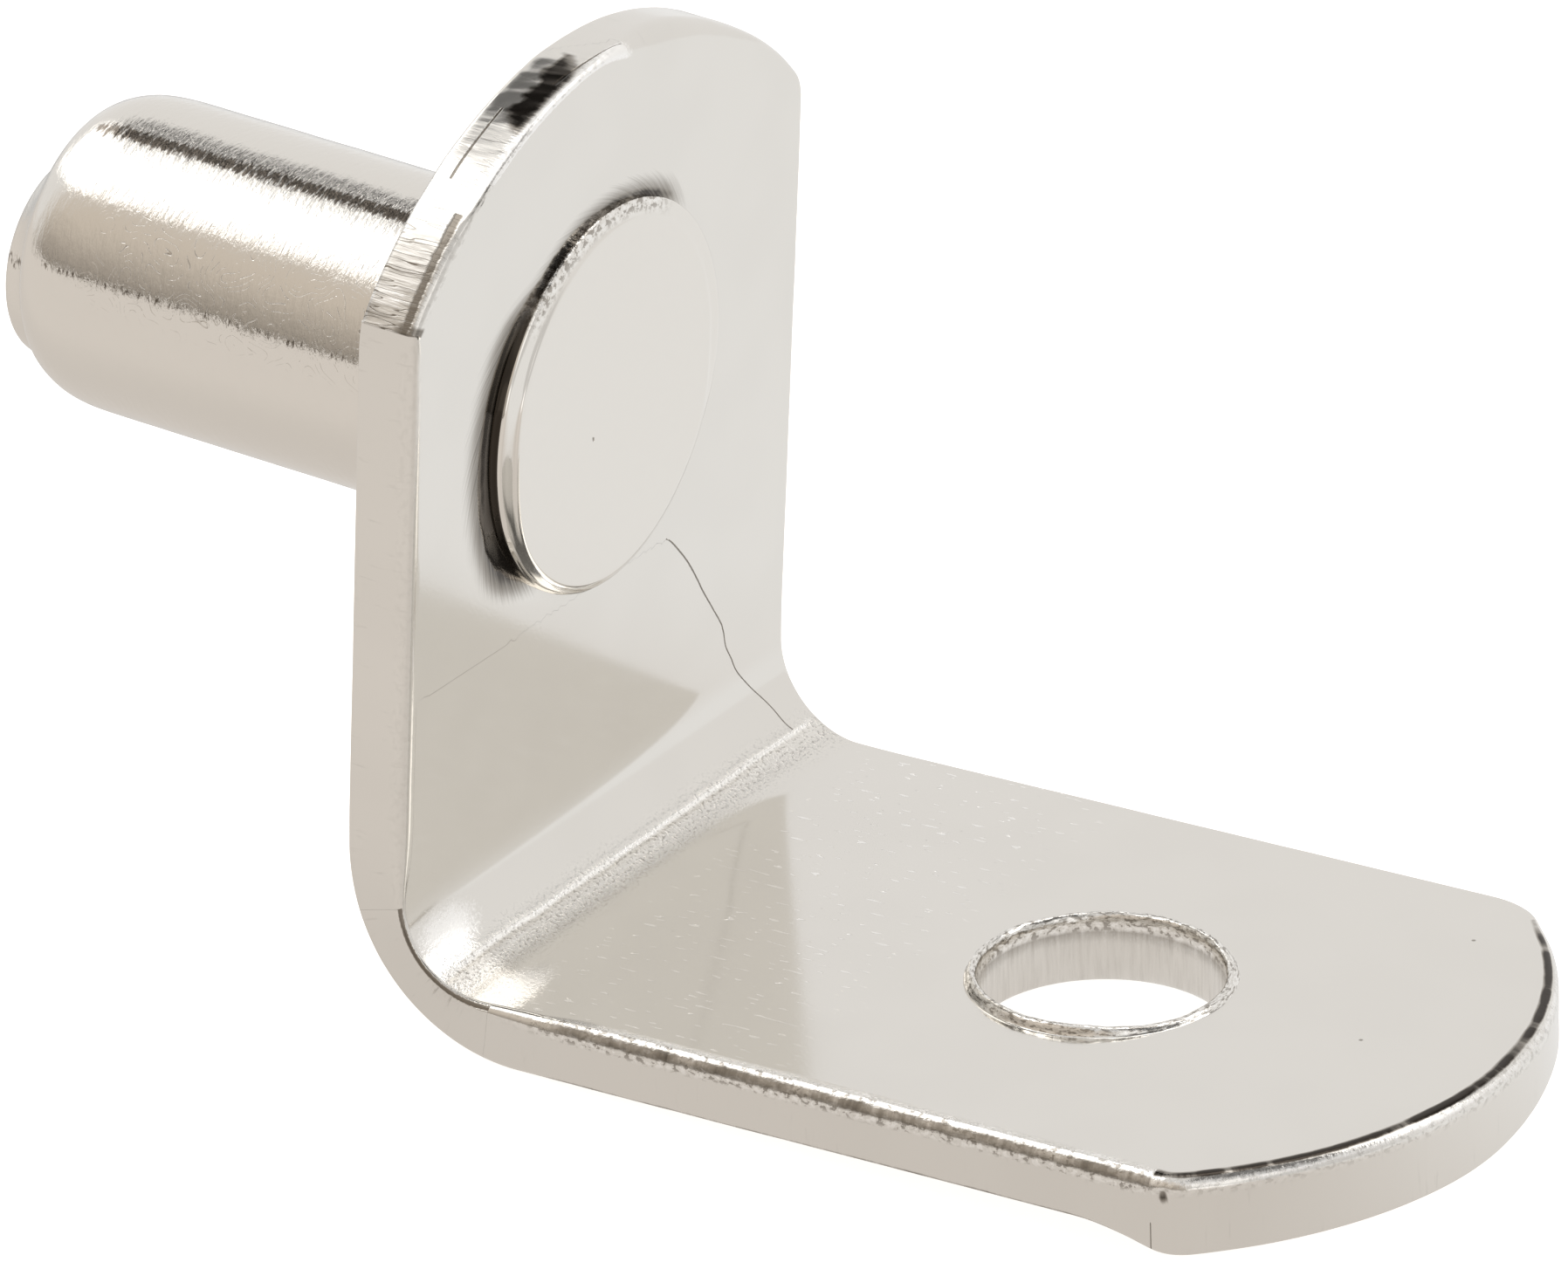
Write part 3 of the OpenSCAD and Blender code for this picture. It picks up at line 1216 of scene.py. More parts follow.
    def _lines(self, w: Array, ragged: Array) -> Array:
        """Distance to the nearest fine line: the top arc's cracks, the fold's lip and the corner.

        Args:
            w: The row's depth in the strip.
            ragged: Noise that bends the lines.

        Returns:
            The distance at each sample; 1 is far from any line.
        """
        y, u = self.y, self.u
        crack = np.where((y > -3.5) & (y < -2.1), (w - 0.33) * 1.3, 1.0)
        spread = np.maximum(1.3 - 0.75 * (y + 1.4), 0.2)
        crack = np.where((y > -1.4) & (y < 0.25), (w - 0.74 - 0.09 * (y + 1.4)) / spread, crack)
        crack = np.where(y < -3.9, (w - 0.79 + 0.02 * ragged) * 0.36, crack)
        line = np.where(self.on("top_arc", "near_top") > 0, crack, 1.0)
        lip = np.where((u > 0.9) & (u < self.fold - 0.5), (w - 0.94) * 0.8, 1.0)
        line = np.where(self.on("near_edge") > 0, lip, line)
        crease = np.minimum(np.abs(self.past_corner) * 3.0 + 2 * smooth(w, 0.44, 0.56), 1.0)
        return np.clip(np.where(crease < np.abs(line), crease, line), -1, 1)

    def _bright(self, share: Array, w: Array, ragged: Array) -> Array:
        """Painted highlights on the edge: by the tear, at the top's corner and along the foot's lips.

        Args:
            share: How far inside the outline the row lies, in inner rim roundings.
            w: The row's depth in the strip.
            ragged: Noise that breaks the borders.

        Returns:
            How bright it is at each sample.
        """
        y, top = self.y, self.on("top_arc", "near_top")
        lip = 0.85 * top * band(y, (-3.6, -3.2), (0.0, 0.6)) * smooth(w, 0.80, 0.90)
        corner = 0.8 * top * hump(y, -5.05, 0.16) * smooth(w, 0.70, 0.45)
        end_lip = hump(share, 0.22, 0.26) * (0.55 + 0.35 * ragged) * smooth(y, 4.5, 2.5)
        end_lip = self.on("foot_arc", "near_foot") * end_lip
        near_lip = smooth(self.u, self.fold, self.fold + 0.8) * smooth(share, 0.80, 0.97)
        near_lip = self.on("near_edge") * near_lip * (0.85 + 0.5 * ragged)
        return np.maximum.reduce([lip, corner, end_lip, near_lip])


@dataclass
class Bracket:
    """The folded strip with its sheared edges, rivet dish and screw hole."""

    strip: FoldedStrip
    finish: StripNickel = field(default_factory=StripNickel)
    outer_rim: float = 0.264
    lattice: float = 0.17
    outer_lattice: float = 0.40
    fold_lattice: float = 0.07
    neck_r: float = 1.8
    neck_samples: int = 72
    dish_r: float = 3.15
    dish_rim: float = 0.50
    dish_depth: float = 0.11
    crease_depth: float = 0.03
    crease_half: float = 0.11
    curl: float = 0.30
    burr: float = 0.24
    hole_rim: float = 0.13
    hole_samples: int = 360
    lip: float = 0.15
    lip_shape: tuple[tuple[float, float], ...] = (
        (0.02, 0.12), (0.035, 0.35), (0.05, 0.62), (0.07, 0.85), (0.095, 0.97), (0.125, 1.0),
        (0.155, 0.95), (0.18, 0.80), (0.195, 0.58), (0.205, 0.30), (0.21, 0.0), (0.212, -0.4),
    )

    def __post_init__(self) -> None:
        """Lays out the parts that the methods share.

        They are the outline, the edge round it, the mesh's draft and the pin's place.
        """
        self.outline = StripOutline(self.strip)
        self.edge = ShearedEdge(self.outline)
        self.draft = MeshDraft()
        self.rivet_u = self.strip.height_u(0.0)

    # The shape of the faces ------------------------------------------------------------------

    def rivet_polar(self, u: Array, y: Array) -> tuple[Array, Array]:
        """Distance from the pin's axis, and how far round from up the leg towards the far side."""
        along, across = self.rivet_u - u, y
        return np.hypot(along, across), np.arctan2(across, along)

    def dish_share(self, angle: Array) -> Array:
        """How deep the dish is: full on the near side and almost nothing on the far side.

        Args:
            angle: Where round the pin's axis, as rivet_polar gives it.

        Returns:
            The share of the dish's depth at each angle.
        """
        turn = np.degrees(angle)
        near_side = 0.38 + 0.62 * smooth(turn, -34, -62)
        return 0.03 + 0.97 * smooth(turn, -150, -116) * near_side * smooth(turn, 46, 26)

    def crease_u(self, y: Array) -> Array:
        """Where the folding tool's line runs in the fold."""
        return self.strip.fold_len * 0.60 + 0.03 * Grain(42).fine(np.asarray(y, float) * 0.8)

    def face_sink(self, u: Array, y: Array) -> Array:
        """How far the inner face lies below its plane: the dish, faint waves, the line and the curl.

        Args:
            u: Places along the strip.
            y: Places across it.

        Returns:
            The depth at each place.
        """
        r, angle = self.rivet_polar(u, y)
        share = self.dish_share(angle)
        reach = self.dish_rim * (0.3 + 0.7 * share)
        ragged = Grain(11).fine(angle * 9, r * 0.7) * 0.03
        slope = 1 - smooth(r + ragged, self.dish_r - 0.05, self.dish_r + reach)
        waves = 0.0012 * Grain(5).fine(u * 0.22, y * 0.22, layers=2)
        crease = self.crease_depth * hump(u - self.crease_u(y), 0.0, self.crease_half)
        half_w, fold = self.strip.half_w, self.strip.fold_len
        curl = self.curl * hump(u, fold * 0.66, fold * 0.72) * smooth(-y, half_w - 1.3, half_w + 0.35)
        return self.dish_depth * share * slope + waves + crease + curl

    def outer_drop(self, u: Array, y: Array) -> Array:
        """How far the outer face hangs below its plane: the burr that the end's shearing left.

        Args:
            u: Places along the strip.
            y: Places across it.

        Returns:
            The drop at each place.
        """
        ahead = u - (self.strip.tip_u - self.strip.end_r)
        inside = self.strip.end_r - np.hypot(ahead, y)
        share = 0.06 + 0.94 * smooth(y, 3.0, -1.0)
        return self.burr * share * smooth(inside, 0.95, 0.0) * smooth(ahead, 1.4, 3.2)

    # The marks of use on the faces, and their painted highlights and shade -----------------------

    def painted_shade_and_residue(self, u: Array, y: Array) -> Array:
        """Painted shade and sooty deposits round the rivet's head, and painted dark specks by the fold's
        line.

        Args:
            u: Places along the strip.
            y: Places across it.

        Returns:
            How dark each place is.
        """
        r, angle = self.rivet_polar(u, y)
        share, turn = self.dish_share(angle), np.degrees(angle)
        wide = self.dish_r + 0.16 + 0.85 * share
        dark = np.minimum(share * 1.4, 1.15) * smooth(r, wide, self.dish_r - 0.02)
        gap = np.hypot((u - self.crease_u(y) - 0.14) / 0.20, (y + 4.0) / 0.75)
        # A thin line of painted shade along the rim of the rivet's head.
        seam = smooth(r, self.dish_r + 0.16, self.dish_r + 0.05) * band(turn, (-75, -55), (24, 40))
        seam = seam * (0.85 + 0.35 * Grain(45).fine(angle * 12, r * 6))
        return np.maximum.reduce([dark, 0.16 * smooth(gap, 1.0, 0.3), seam])

    def painted_highlight(self, u: Array, y: Array) -> Array:
        """Painted highlights on the inner face: along the folding tool's line, and spots at the near end.

        Args:
            u: Places along the strip.
            y: Places across it.

        Returns:
            How bright each place is.
        """
        past = u - self.crease_u(y)
        across = (y + 4.45) / 1.15
        above = smooth(np.hypot((past + 0.66) / 0.70, across), 1.0, 0.0)
        below = smooth(np.hypot((past - 1.10) / 0.66, across), 1.0, 0.0)
        spots = np.maximum(above, below) * (0.90 + 0.25 * Grain(43).fine(u * 5, y * 5))
        return np.maximum(0.55 * hump(past, -0.05, 0.10), spots)

    def line_gap(self, u: Array, y: Array) -> Array:
        """Signed distance to the fine line that wanders from the rivet's head down into the fold.

        Args:
            u: Places along the strip.
            y: Places across it.

        Returns:
            The distance, or 1 far from the line.
        """
        start, end = self.rivet_u + 3.1, self.strip.fold_len * 0.58
        along = np.clip((u - start) / (end - start), 0, 1)
        wander = 0.10 * np.sin(along * 17) * along + 0.05 * Grain(44).at(u * 2.2, 0 * u)
        gap = (y - (1.80 + 3.05 * along ** 0.75 + wander)) * (1.35 + 0.9 * along)
        return np.where((u > start) & (u < end), np.clip(gap, -1, 1), 1.0)

    def galling(self, u: Array, y: Array) -> Array:
        """Where the folding tool has galled the inner face, below its line and a little above.

        Args:
            u: Places along the strip.
            y: Places across it.

        Returns:
            How galled each place is.
        """
        gap = u - self.crease_u(y) + 0.12 * Grain(41).fine(y * 1.3, u * 1.3)
        below, above = band(gap, (-0.2, 0.0), (0.05, 0.95)), band(gap, (-0.5, -0.1), (0.0, 0.1))
        return np.maximum(below, 0.4 * above)

    # Building -------------------------------------------------------------------------------

    def _add(
        self, place: Array, w: Array, edge: Array | None = None, wear_and_light_marks: dict[Surface, Any] | None = None
    ) -> Array:
        """Adds vertices given in developed coordinates.

        Args:
            place: One row of u and y each.
            w: Their depths.
            edge: Their distance round an edge and across it, if they lie on one.
            wear_and_light_marks: Their values of any marks that aren't as on a face, painted light among
                them.

        Returns:
            The vertices' numbers.
        """
        count = len(place)
        w = np.broadcast_to(np.asarray(w, float), (count,))
        u, y = place[:, 0], place[:, 1]
        inner = smooth(w, 0.55, 0.9)
        r, angle = self.rivet_polar(u, y)
        around = np.stack([angle * 3.4 + r * 2.2, r * 0.8], -1) if edge is None else edge
        marks = {
            Surface.FLAT: np.stack([u, y, w], -1),
            Surface.EDGE: np.column_stack([around, np.zeros(count)]),
            Surface.SHEAR: np.zeros(count),
            Surface.CHIPPED: np.zeros(count),
            Surface.GALLED_AND_DARK_REFLECTION: self.galling(u, y) * inner,
            # Painted shade and sooty deposits round the rivet's head and by the fold's line.
            Surface.GROOVE: self.painted_shade_and_residue(u, y) * inner,
            Surface.LINE: np.where(inner > 0.5, self.line_gap(u, y), 1.0),
            Surface.SCORED: np.zeros(count),
            # Painted highlights on the fold.
            Surface.BRIGHT: self.painted_highlight(u, y) * inner,
        }
        for mark, values in (wear_and_light_marks or {}).items():
            marks[mark] = np.broadcast_to(np.asarray(values, float), (count,))
        return self.draft.add(self.strip.bend(u, y, w), marks)

    def _band(self) -> list[tuple[Array, Array]]:
        """Adds the sheared edge all round.

        Returns:
            The vertex numbers and places of its border on the inner face and on the outer.
        """
        o, t, edge = self.outline, self.strip.thick, self.edge
        rows = edge.rows()
        outward = edge.base - o.ring(0.3)
        outward /= np.maximum(np.linalg.norm(outward, axis=1, keepdims=True), 1e-9)
        round_edge = folded(edge.along, edge.along[-1] + o.fine)
        made, places = [], []
        for index, (inset, w, run) in enumerate(rows):
            free = 0.0 if index in (0, len(rows) - 1) else 1.0 - edge.sharpness() * (index == 1)
            push, lift = edge.relief(w)
            place = o.ring(inset) + outward * (push * free)[:, None]
            depth = w + lift * free
            if index == 0:
                depth = depth - self.face_sink(*place.T)
            else:
                depth = depth - self.outer_drop(*place.T) * smooth(w, t - 0.2, 0.1)
            wear_and_light_marks = edge.wear_and_light(inset, inset / rows[0][0], w)
            made.append(self._add(place, depth, np.stack([round_edge, run], -1), wear_and_light_marks))
            places.append(place)
        self.draft.bridge(made)
        return [(made[0], places[0]), (made[-1], places[-1])]

    def _hole(
        self, u: float, rows: list[tuple[Array, Array]], wear_and_light: list[tuple[float, float]]
    ) -> list[tuple[Array, Array]]:
        """Adds the wall of a round hole.

        Args:
            u: The hole's place.
            rows: The radius and depth of each row, from the inner face to the outer face.
            wear_and_light: The shear and chipping of each row.

        Returns:
            The vertex numbers and places of its border on the inner face and on the outer.
        """
        count = len(rows[0][0])
        angle = np.arange(count) * 2 * math.pi / count
        length = folded(angle, 2 * math.pi, math.pi / 8) * self.strip.hole_r
        made, places = [], []
        for index, ((radius, w), (shear, chipped)) in enumerate(zip(rows, wear_and_light)):
            place = ring_places(u, angle, radius)
            depth = w - self.face_sink(*place.T) if index == 0 else w
            wear_and_light_marks = {Surface.SHEAR: shear, Surface.CHIPPED: chipped}
            if shear > 0:
                wear_and_light_marks[Surface.SCORED] = 0.45 * shear * hump(angle, 0.65, 0.5)
                # Painted shade on the screw hole's wall, darkest towards the inner face.
                wear_and_light_marks[Surface.GROOVE] = 0.15 + 0.40 * chipped
            run = np.full(count, index * 0.07)
            made.append(self._add(place, depth, np.stack([length, run], -1), wear_and_light_marks))
            places.append(place)
        self.draft.bridge(made, flip=True)
        return [(made[0], places[0]), (made[-1], places[-1])]

    def _screw_hole(self) -> list[tuple[Array, Array]]:
        """Adds the screw hole, with the ragged lip that its punching raised on the inner face.

        Returns:
            The vertex numbers and places of its border on the inner face and on the outer.
        """
        t, count, rim = self.strip.thick, self.hole_samples, self.hole_rim
        c, s = ring_places(0, np.arange(count) * 2 * math.pi / count, 1).T
        lip = self.lip * (1 + 0.15 * Grain(51).fine(c * 3, s * 3) - 0.45 * smooth(c, 0.3, 0.95))
        outside_r = self.strip.hole_r + rim
        wall_r = outside_r - self.lip_shape[-1][0]
        start = t + self.lip_shape[-1][1] * self.lip

        rows = [(np.full(count, outside_r), np.full(count, t))]
        wear_and_light = [(0.0, 0.0)]
        for index, (step, height) in enumerate(self.lip_shape):
            rough = 0.009 * Grain(52).fine(c * 14, s * 14, 0 * c + index * 0.40)
            jag = 0.014 * Grain(54).fine(c * 10, s * 10, 0 * c + index * 0.3) * max(height, 0)
            rows.append((outside_r - step + rough, t + lip * height + jag))
            wear_and_light.append((0.0, 0.8))
        for share in np.arange(1, 9) / 9:
            streak = 0.005 * Grain(53).fine(c * 26, s * 26)
            rows.append((wall_r + streak, np.full(count, start * (1 - share) + rim * share)))
            wear_and_light.append((0.8, max(0.8 - 2.2 * share, 0.0)))
        for a in np.linspace(math.pi / 2, 0, 6):
            radius = wall_r + rim * (1 - math.sin(a))
            rows.append((np.full(count, radius), np.full(count, rim * (1 - math.cos(a)))))
            wear_and_light.append((0.5 if a > 0 else 0.0, 0.0))
        return self._hole(self.strip.hole_u, rows, wear_and_light)

    def _rivet_hole(self) -> list[tuple[Array, Array]]:
        """Adds the wall that the pin's neck fills.

        Returns:
            The vertex numbers and places of its border on the inner face and on the outer.
        """
        around = np.ones(self.neck_samples)
        rows = [(around * self.neck_r, around * w) for w in (self.strip.thick, 0.5, 0.0)]
        return self._hole(self.rivet_u, rows, [(0.0, 0.0)] * len(rows))

    def _lattice_points(self, spacing: float, fold_spacing: float, clear: float) -> Array:
        """Points that fill the face, closer together in the fold.

        Args:
            spacing: Their distance on the legs.
            fold_spacing: Their distance along the fold.
            clear: How far they stay from the outline and the holes.

        Returns:
            One row of u and y each.
        """
        s = self.strip
        columns = np.concatenate([
            np.arange(s.top_u + spacing / 2, -0.2, spacing),
            np.arange(-0.2, s.fold_len + 0.2, fold_spacing),
            np.arange(s.fold_len + 0.2, s.tip_u, spacing),
        ])
        rows = np.arange(-s.half_w + spacing / 2, s.half_w, spacing)
        u, y = (side.ravel() for side in np.meshgrid(columns, rows, indexing="ij"))
        keep = self.outline.depth(u, y) > clear
        keep &= np.hypot(u - s.hole_u, y) > s.hole_r + clear
        keep &= np.hypot(u - self.rivet_u, y) > self.neck_r + clear
        return np.stack([u[keep], y[keep]], -1)

    @staticmethod
    def _circle(u: float, r: float, count: int) -> Array:
        """A ring of evenly spaced places round one on the middle line."""
        return ring_places(u, np.arange(count) * 2 * math.pi / count, r)

    def _inner_points(self) -> Array:
        """The vertices inside the inner face: rings beside its borders, the tool's line and a lattice.

        Returns:
            One row of u and y each.
        """
        o, s = self.outline, self.strip
        inner_r, _ = self.edge.rims(np.arange(o.size) * o.fine)
        parts = [o.ring(inner_r * 1.15 + 0.04), o.ring(inner_r * 1.15 + 0.11)[::2]]
        for offset, step in ((0.05, 1), (0.13, 2)):
            ring = self._circle(s.hole_u, s.hole_r + self.hole_rim + offset, self.hole_samples)
            parts.append(ring[::step])
        for r in np.arange(self.dish_r - 0.25, self.dish_r + self.dish_rim + 0.3, 0.07):
            parts.append(self._circle(self.rivet_u, r, 260))
        lattice = self._lattice_points(self.lattice, self.fold_lattice, 0.56)
        lattice = lattice[np.abs(lattice[:, 0] - self.crease_u(lattice[:, 1])) > self.crease_half + 0.05]
        crease = np.arange(-s.half_w + 0.3, s.half_w - 0.3, self.fold_lattice)
        for offset in (-0.11, -0.07, -0.035, 0.0, 0.035, 0.07, 0.11):
            parts.append(np.stack([self.crease_u(crease) + offset, crease], -1))
        r, _ = self.rivet_polar(*lattice.T)
        parts.append(lattice[(r < self.dish_r - 0.35) | (r > self.dish_r + self.dish_rim + 0.35)])
        return np.concatenate(parts)

    def _outer_points(self) -> Array:
        """The vertices inside the outer face: rings beside its borders, and a lattice.

        Returns:
            One row of u and y each.
        """
        o, s, rim = self.outline, self.strip, self.outer_rim
        hole = self._circle(s.hole_u, s.hole_r + self.hole_rim + 0.08, self.hole_samples // 2)
        lattice = self._lattice_points(self.outer_lattice, 0.12, rim + 0.35)
        return np.concatenate([o.ring(rim + 0.06)[::2], o.ring(rim + 0.2)[::5], hole, lattice])

    def _face(self, loops: list[tuple[Array, Array]], extra: Array, inner: bool) -> None:
        """Fills a face between its outline and its holes.

        Args:
            loops: For each closed boundary, its vertex numbers and its places; the outline first.
            extra: The places of the vertices inside the face.
            inner: Whether it is the inner face.
        """
        w = self.strip.thick - self.face_sink(*extra.T) if inner else -self.outer_drop(*extra.T)
        ids = np.concatenate([loop for loop, _ in loops] + [self._add(extra, w)])
        places = np.concatenate([place for _, place in loops] + [extra])
        edges, start = [], 0
        for loop, _ in loops:
            count = len(loop)
            edges += [(start + i, start + (i + 1) % count) for i in range(count)]
            start += count
        found = delaunay_2d_cdt([Vector(p) for p in places.tolist()], edges, [], 1, 1e-7, True)
        spots = np.array([tuple(v) for v in found[0]])
        origin = np.array([sources[0] if sources else -1 for sources in found[3]])
        triangles = np.array(found[2])
        middle = spots[triangles].mean(1)
        keep = (origin[triangles] >= 0).all(1)
        keep &= self._within(middle, loops[0][1]) | (origin[triangles] >= len(loops[0][0])).any(1)
        for _, hole in loops[1:]:
            keep &= ~self._within(middle, hole)
        chosen = ids[origin[triangles[keep]]]
        if not inner:
            chosen = chosen[:, ::-1]
        self.draft.faces.extend(map(tuple, chosen.tolist()))

    @staticmethod
    def _within(spots: Array, outline: Array) -> Array:
        """Whether each spot lies inside a closed outline, by counting the sides that it passes.

        Args:
            spots: One row of u and y each.
            outline: The same for the outline's corners, in order.

        Returns:
            True for each spot that lies inside.
        """
        odd = np.zeros(len(spots), bool)
        for (u0, y0), (u1, y1) in zip(outline, np.roll(outline, -1, axis=0)):
            if y0 != y1:
                passed = (spots[:, 1] > min(y0, y1)) & (spots[:, 1] <= max(y0, y1))
                crossing = u0 + (spots[:, 1] - y0) * (u1 - u0) / (y1 - y0)
                odd ^= passed & (spots[:, 0] < crossing)
        return odd

    def build(self) -> bpy.types.Object:
        """Builds the bracket.

        Returns:
            The finished piece.
        """
        borders = list(zip(self._band(), self._screw_hole(), self._rivet_hole()))
        self._face(list(borders[0]), self._inner_points(), True)
        self._face(list(borders[1]), self._outer_points(), False)
        return self.draft.make("bracket_plated", self.finish.material("strip_nickel_finish"))


@dataclass
class RivetPin:
    """The locating pin: shank, lead-in and low boss, and the head that riveting spreads."""

    shank_r: float
    tip_x: float
    head_x: float
    finish: PinNickel = field(default_factory=PinNickel)
    steps: int = 320
    row: float = 0.075
    cap_row: float = 0.12
    middle_r: float = 0.05
    thick: float = 1.0
    lean: float = 0.006
    neck_r: float = 1.8
    seat_r: float = 2.6
    seat_depth: float = 0.12
    head_r: float = 3.1
    head_rim: float = 0.10
    head_bevel: float = 0.24
    head_tilt: float = 0.45
    lead_rows: int = 40
    lead: tuple[tuple[float, float], ...] = (
        (1.15, 2.500), (0.93, 2.492), (0.73, 2.472), (0.55, 2.438), (0.40, 2.390), (0.27, 2.332),
        (0.16, 2.264), (0.08, 2.185), (0.03, 2.110), (0.00, 2.030),
    )
    boss_r: float = 1.66
    boss_h: float = 0.66
    boss_proud: float = 0.06
    boss_rim: float = 0.16
    boss_drop: float = 0.40
    boss_fillet: float = 0.50
    streak_at: float = 341.5
    fade_at: float = 284.5
    wear_and_light_kinds: tuple[Surface, ...] = (
        Surface.SHEAR, Surface.CHIPPED, Surface.SCORED, Surface.BRIGHT, Surface.GALLED_AND_DARK_REFLECTION,
    )

    @classmethod
    def from_frame(cls, record: dict[str, Any]) -> "RivetPin":
        """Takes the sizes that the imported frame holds.

        Args:
            record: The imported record.

        Returns:
            The pin.
        """
        low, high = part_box("pin")
        peg = next(m for m in record["mounts"] if m["name"] == "peg")
        return cls(shank_r=peg["dims"]["r_mm"], tip_x=low.x / MM - cls.boss_proud, head_x=high.x / MM)

    def __post_init__(self) -> None:
        """Lays out the samples round the pin, from up towards the far side.

        Each has its share of y and z, its turn in degrees and a place that the finish uses.
        """
        angle = np.arange(self.steps) * 2 * math.pi / self.steps
        self.y, self.z, self.turn = np.sin(angle), np.cos(angle), np.degrees(angle)
        self.around = folded(angle, 2 * math.pi, math.radians(30)) * self.shank_r
        self.end_x = self.tip_x + self.boss_h

    # The turned outline ----------------------------------------------------------------------

    def _head_profile(self) -> list[tuple[float, float, float]]:
        """The head's stations, from its middle to the neck's end.

        Returns:
            Place along the pin, radius, and share of the boss's drop for each.
        """
        top_r = self.head_r - self.head_bevel
        flat = np.arange(self.middle_r, top_r - self.head_rim - self.cap_row, self.cap_row)
        points = [(self.head_x, r, 0.0) for r in flat]
        points.append((self.head_x, top_r - self.head_rim - 0.04, 0.0))
        for a in np.linspace(0, math.radians(60), 8):
            r = top_r - self.head_rim * (1 - math.sin(a))
            points.append((self.head_x - self.head_rim * (1 - math.cos(a)), r, 0.0))
        low_x, seat = points[-1][0], self.thick - self.seat_depth
        for share in np.linspace(0, 1, 7)[1:]:
            r = points[-1][1] + (self.head_r - points[-1][1]) * min(share * 1.2, 1)
            points.append((low_x + (self.thick - low_x) * share, r, 0.0))
        points += [(x, self.head_r, 0.0) for x in np.linspace(self.thick, seat, 4)[1:]]
        points.append((seat, self.seat_r, 0.0))
        return points + [(x, self.neck_r, 0.0) for x in (seat, 0.5, 0.0)]

    def _shank_profile(self) -> list[tuple[float, float, float]]:
        """The shank's stations, from its shoulder to the end of the lead-in.

        Returns:
            Place along the pin, radius, and share of the boss's drop for each.
        """
        points = [(0.0, 2.1, 0.0), (0.0, self.shank_r - 0.06, 0.0), (-0.03, self.shank_r, 0.0)]
        straight = np.arange(-0.1, self.end_x + self.lead[0][0], -self.row)
        points += [(x, self.shank_r, 0.0) for x in straight]
        stations = np.array(self.lead)
        for step in np.linspace(0, len(stations) - 1, self.lead_rows):
            ahead, r = self._eased_station(stations, step)
            points.append((self.end_x + ahead, r, 0.0))
        return points

    def _boss_profile(self, shoulder: float) -> list[tuple[float, float, float]]:
        """The stations of the flat end and the boss on it, to the boss's middle.

        Args:
            shoulder: The radius at which the flat end begins.

        Returns:
            Place along the pin, radius, and share of the boss's drop for each.
        """
        end_x, points = self.end_x, []
        for share in np.linspace(0, 1, 8)[1:]:
            points.append((end_x - 0.02 * share, shoulder + (self.boss_r - shoulder) * share, share))
        for x in np.linspace(end_x - 0.02, self.tip_x + self.boss_rim, 8)[1:]:
            points.append((x, self.boss_r - 0.05 * (end_x - x) / self.boss_h, 1.0))
        for a in np.linspace(0, math.pi / 2, 8)[1:]:
            r = self.boss_r - 0.04 - self.boss_rim * (1 - math.cos(a))
            points.append((self.tip_x + self.boss_rim * (1 - math.sin(a)), r, 1.0))
        flat = np.arange(self.boss_r - self.boss_rim - 0.14, self.middle_r, -self.cap_row)
        return points + [(self.tip_x, r, 1.0) for r in flat]

    @staticmethod
    def _eased_station(stations: Array, step: float) -> Array:
        """A place between the lead-in's stations, on a smooth curve through them.

        Args:
            stations: Place and radius of each station.
            step: The number of the station, with its fraction.

        Returns:
            The place and the radius there.
        """
        k = int(min(step, len(stations) - 1.001))
        t = step - k
        before, after = stations[max(k - 1, 0)], stations[min(k + 2, len(stations) - 1)]
        start, end = stations[k], stations[k + 1]
        leave, arrive = (end - before) / 2, (after - start) / 2
        return (
            (2 * t ** 3 - 3 * t ** 2 + 1) * start + (t ** 3 - 2 * t ** 2 + t) * leave
            + (3 * t ** 2 - 2 * t ** 3) * end + (t ** 3 - t ** 2) * arrive
        )

    # Shape and wear of one ring --------------------------------------------------------------

    def _plain_marks(self, flat: Array) -> dict[Surface, Array]:
        """Marks of plain vertices: none of the marks of use or of painted light.

        Args:
            flat: The places that the finish's patterns run on, one row each.

        Returns:
            The values of every mark that the pin has.
        """
        marks = {name: np.zeros(len(flat)) for name in self.wear_and_light_kinds}
        return {Surface.FLAT: flat, Surface.LINE: np.ones(len(flat))} | marks

    def _head(self, x: float, r: float) -> tuple[Array, Array, dict[Surface, Array]]:
        """One ring of the head or the neck: an uneven, chipped rim and a tilted face with a pip.

        The rim carries a painted highlight on its lower near side.

        Args:
            x: The ring's place along the pin.
            r: Its radius.

        Returns:
            The samples' places along the pin, their radii and their marks.
        """
        y, z = self.y, self.z
        turn = np.degrees(np.arctan2(y, z))
        on_rim = float(smooth(r, self.head_r - 0.27, self.head_r - 0.10))
        ragged = 0.008 * Grain(61).fine(y * 6, z * 6) + 0.018 * Grain(62).at(y * 1.7, z * 1.7)
        steep = smooth(-z, 0.0, 0.6) * smooth(r, self.head_r - 0.6, self.head_r - 0.4)
        radius = r + ragged * on_rim + 0.14 * steep * float(smooth(self.head_r - r, 0.0, 0.2))
        lip = hump(r, self.head_r - self.head_bevel - 0.03, 0.06) * float(x > self.thick + 0.05)
        marks = {
            Surface.CHIPPED: on_rim * 0.66 * band(turn, (-54, -42), (20, 34)),
            # A painted highlight on the rim's lower near side.
            Surface.BRIGHT: 0.95 * lip * smooth(-z, 0.45, 0.75) * smooth(y, 0.10, -0.25),
        }
        place_x = np.full(self.steps, x)
        if x > self.thick:
            tilt = (0.95 * y + 0.30 * z) * r / self.head_r
            place_x = self.thick + (x - self.thick) * (1 - self.head_tilt * (1 + tilt))
            if r < self.head_r - 0.3:
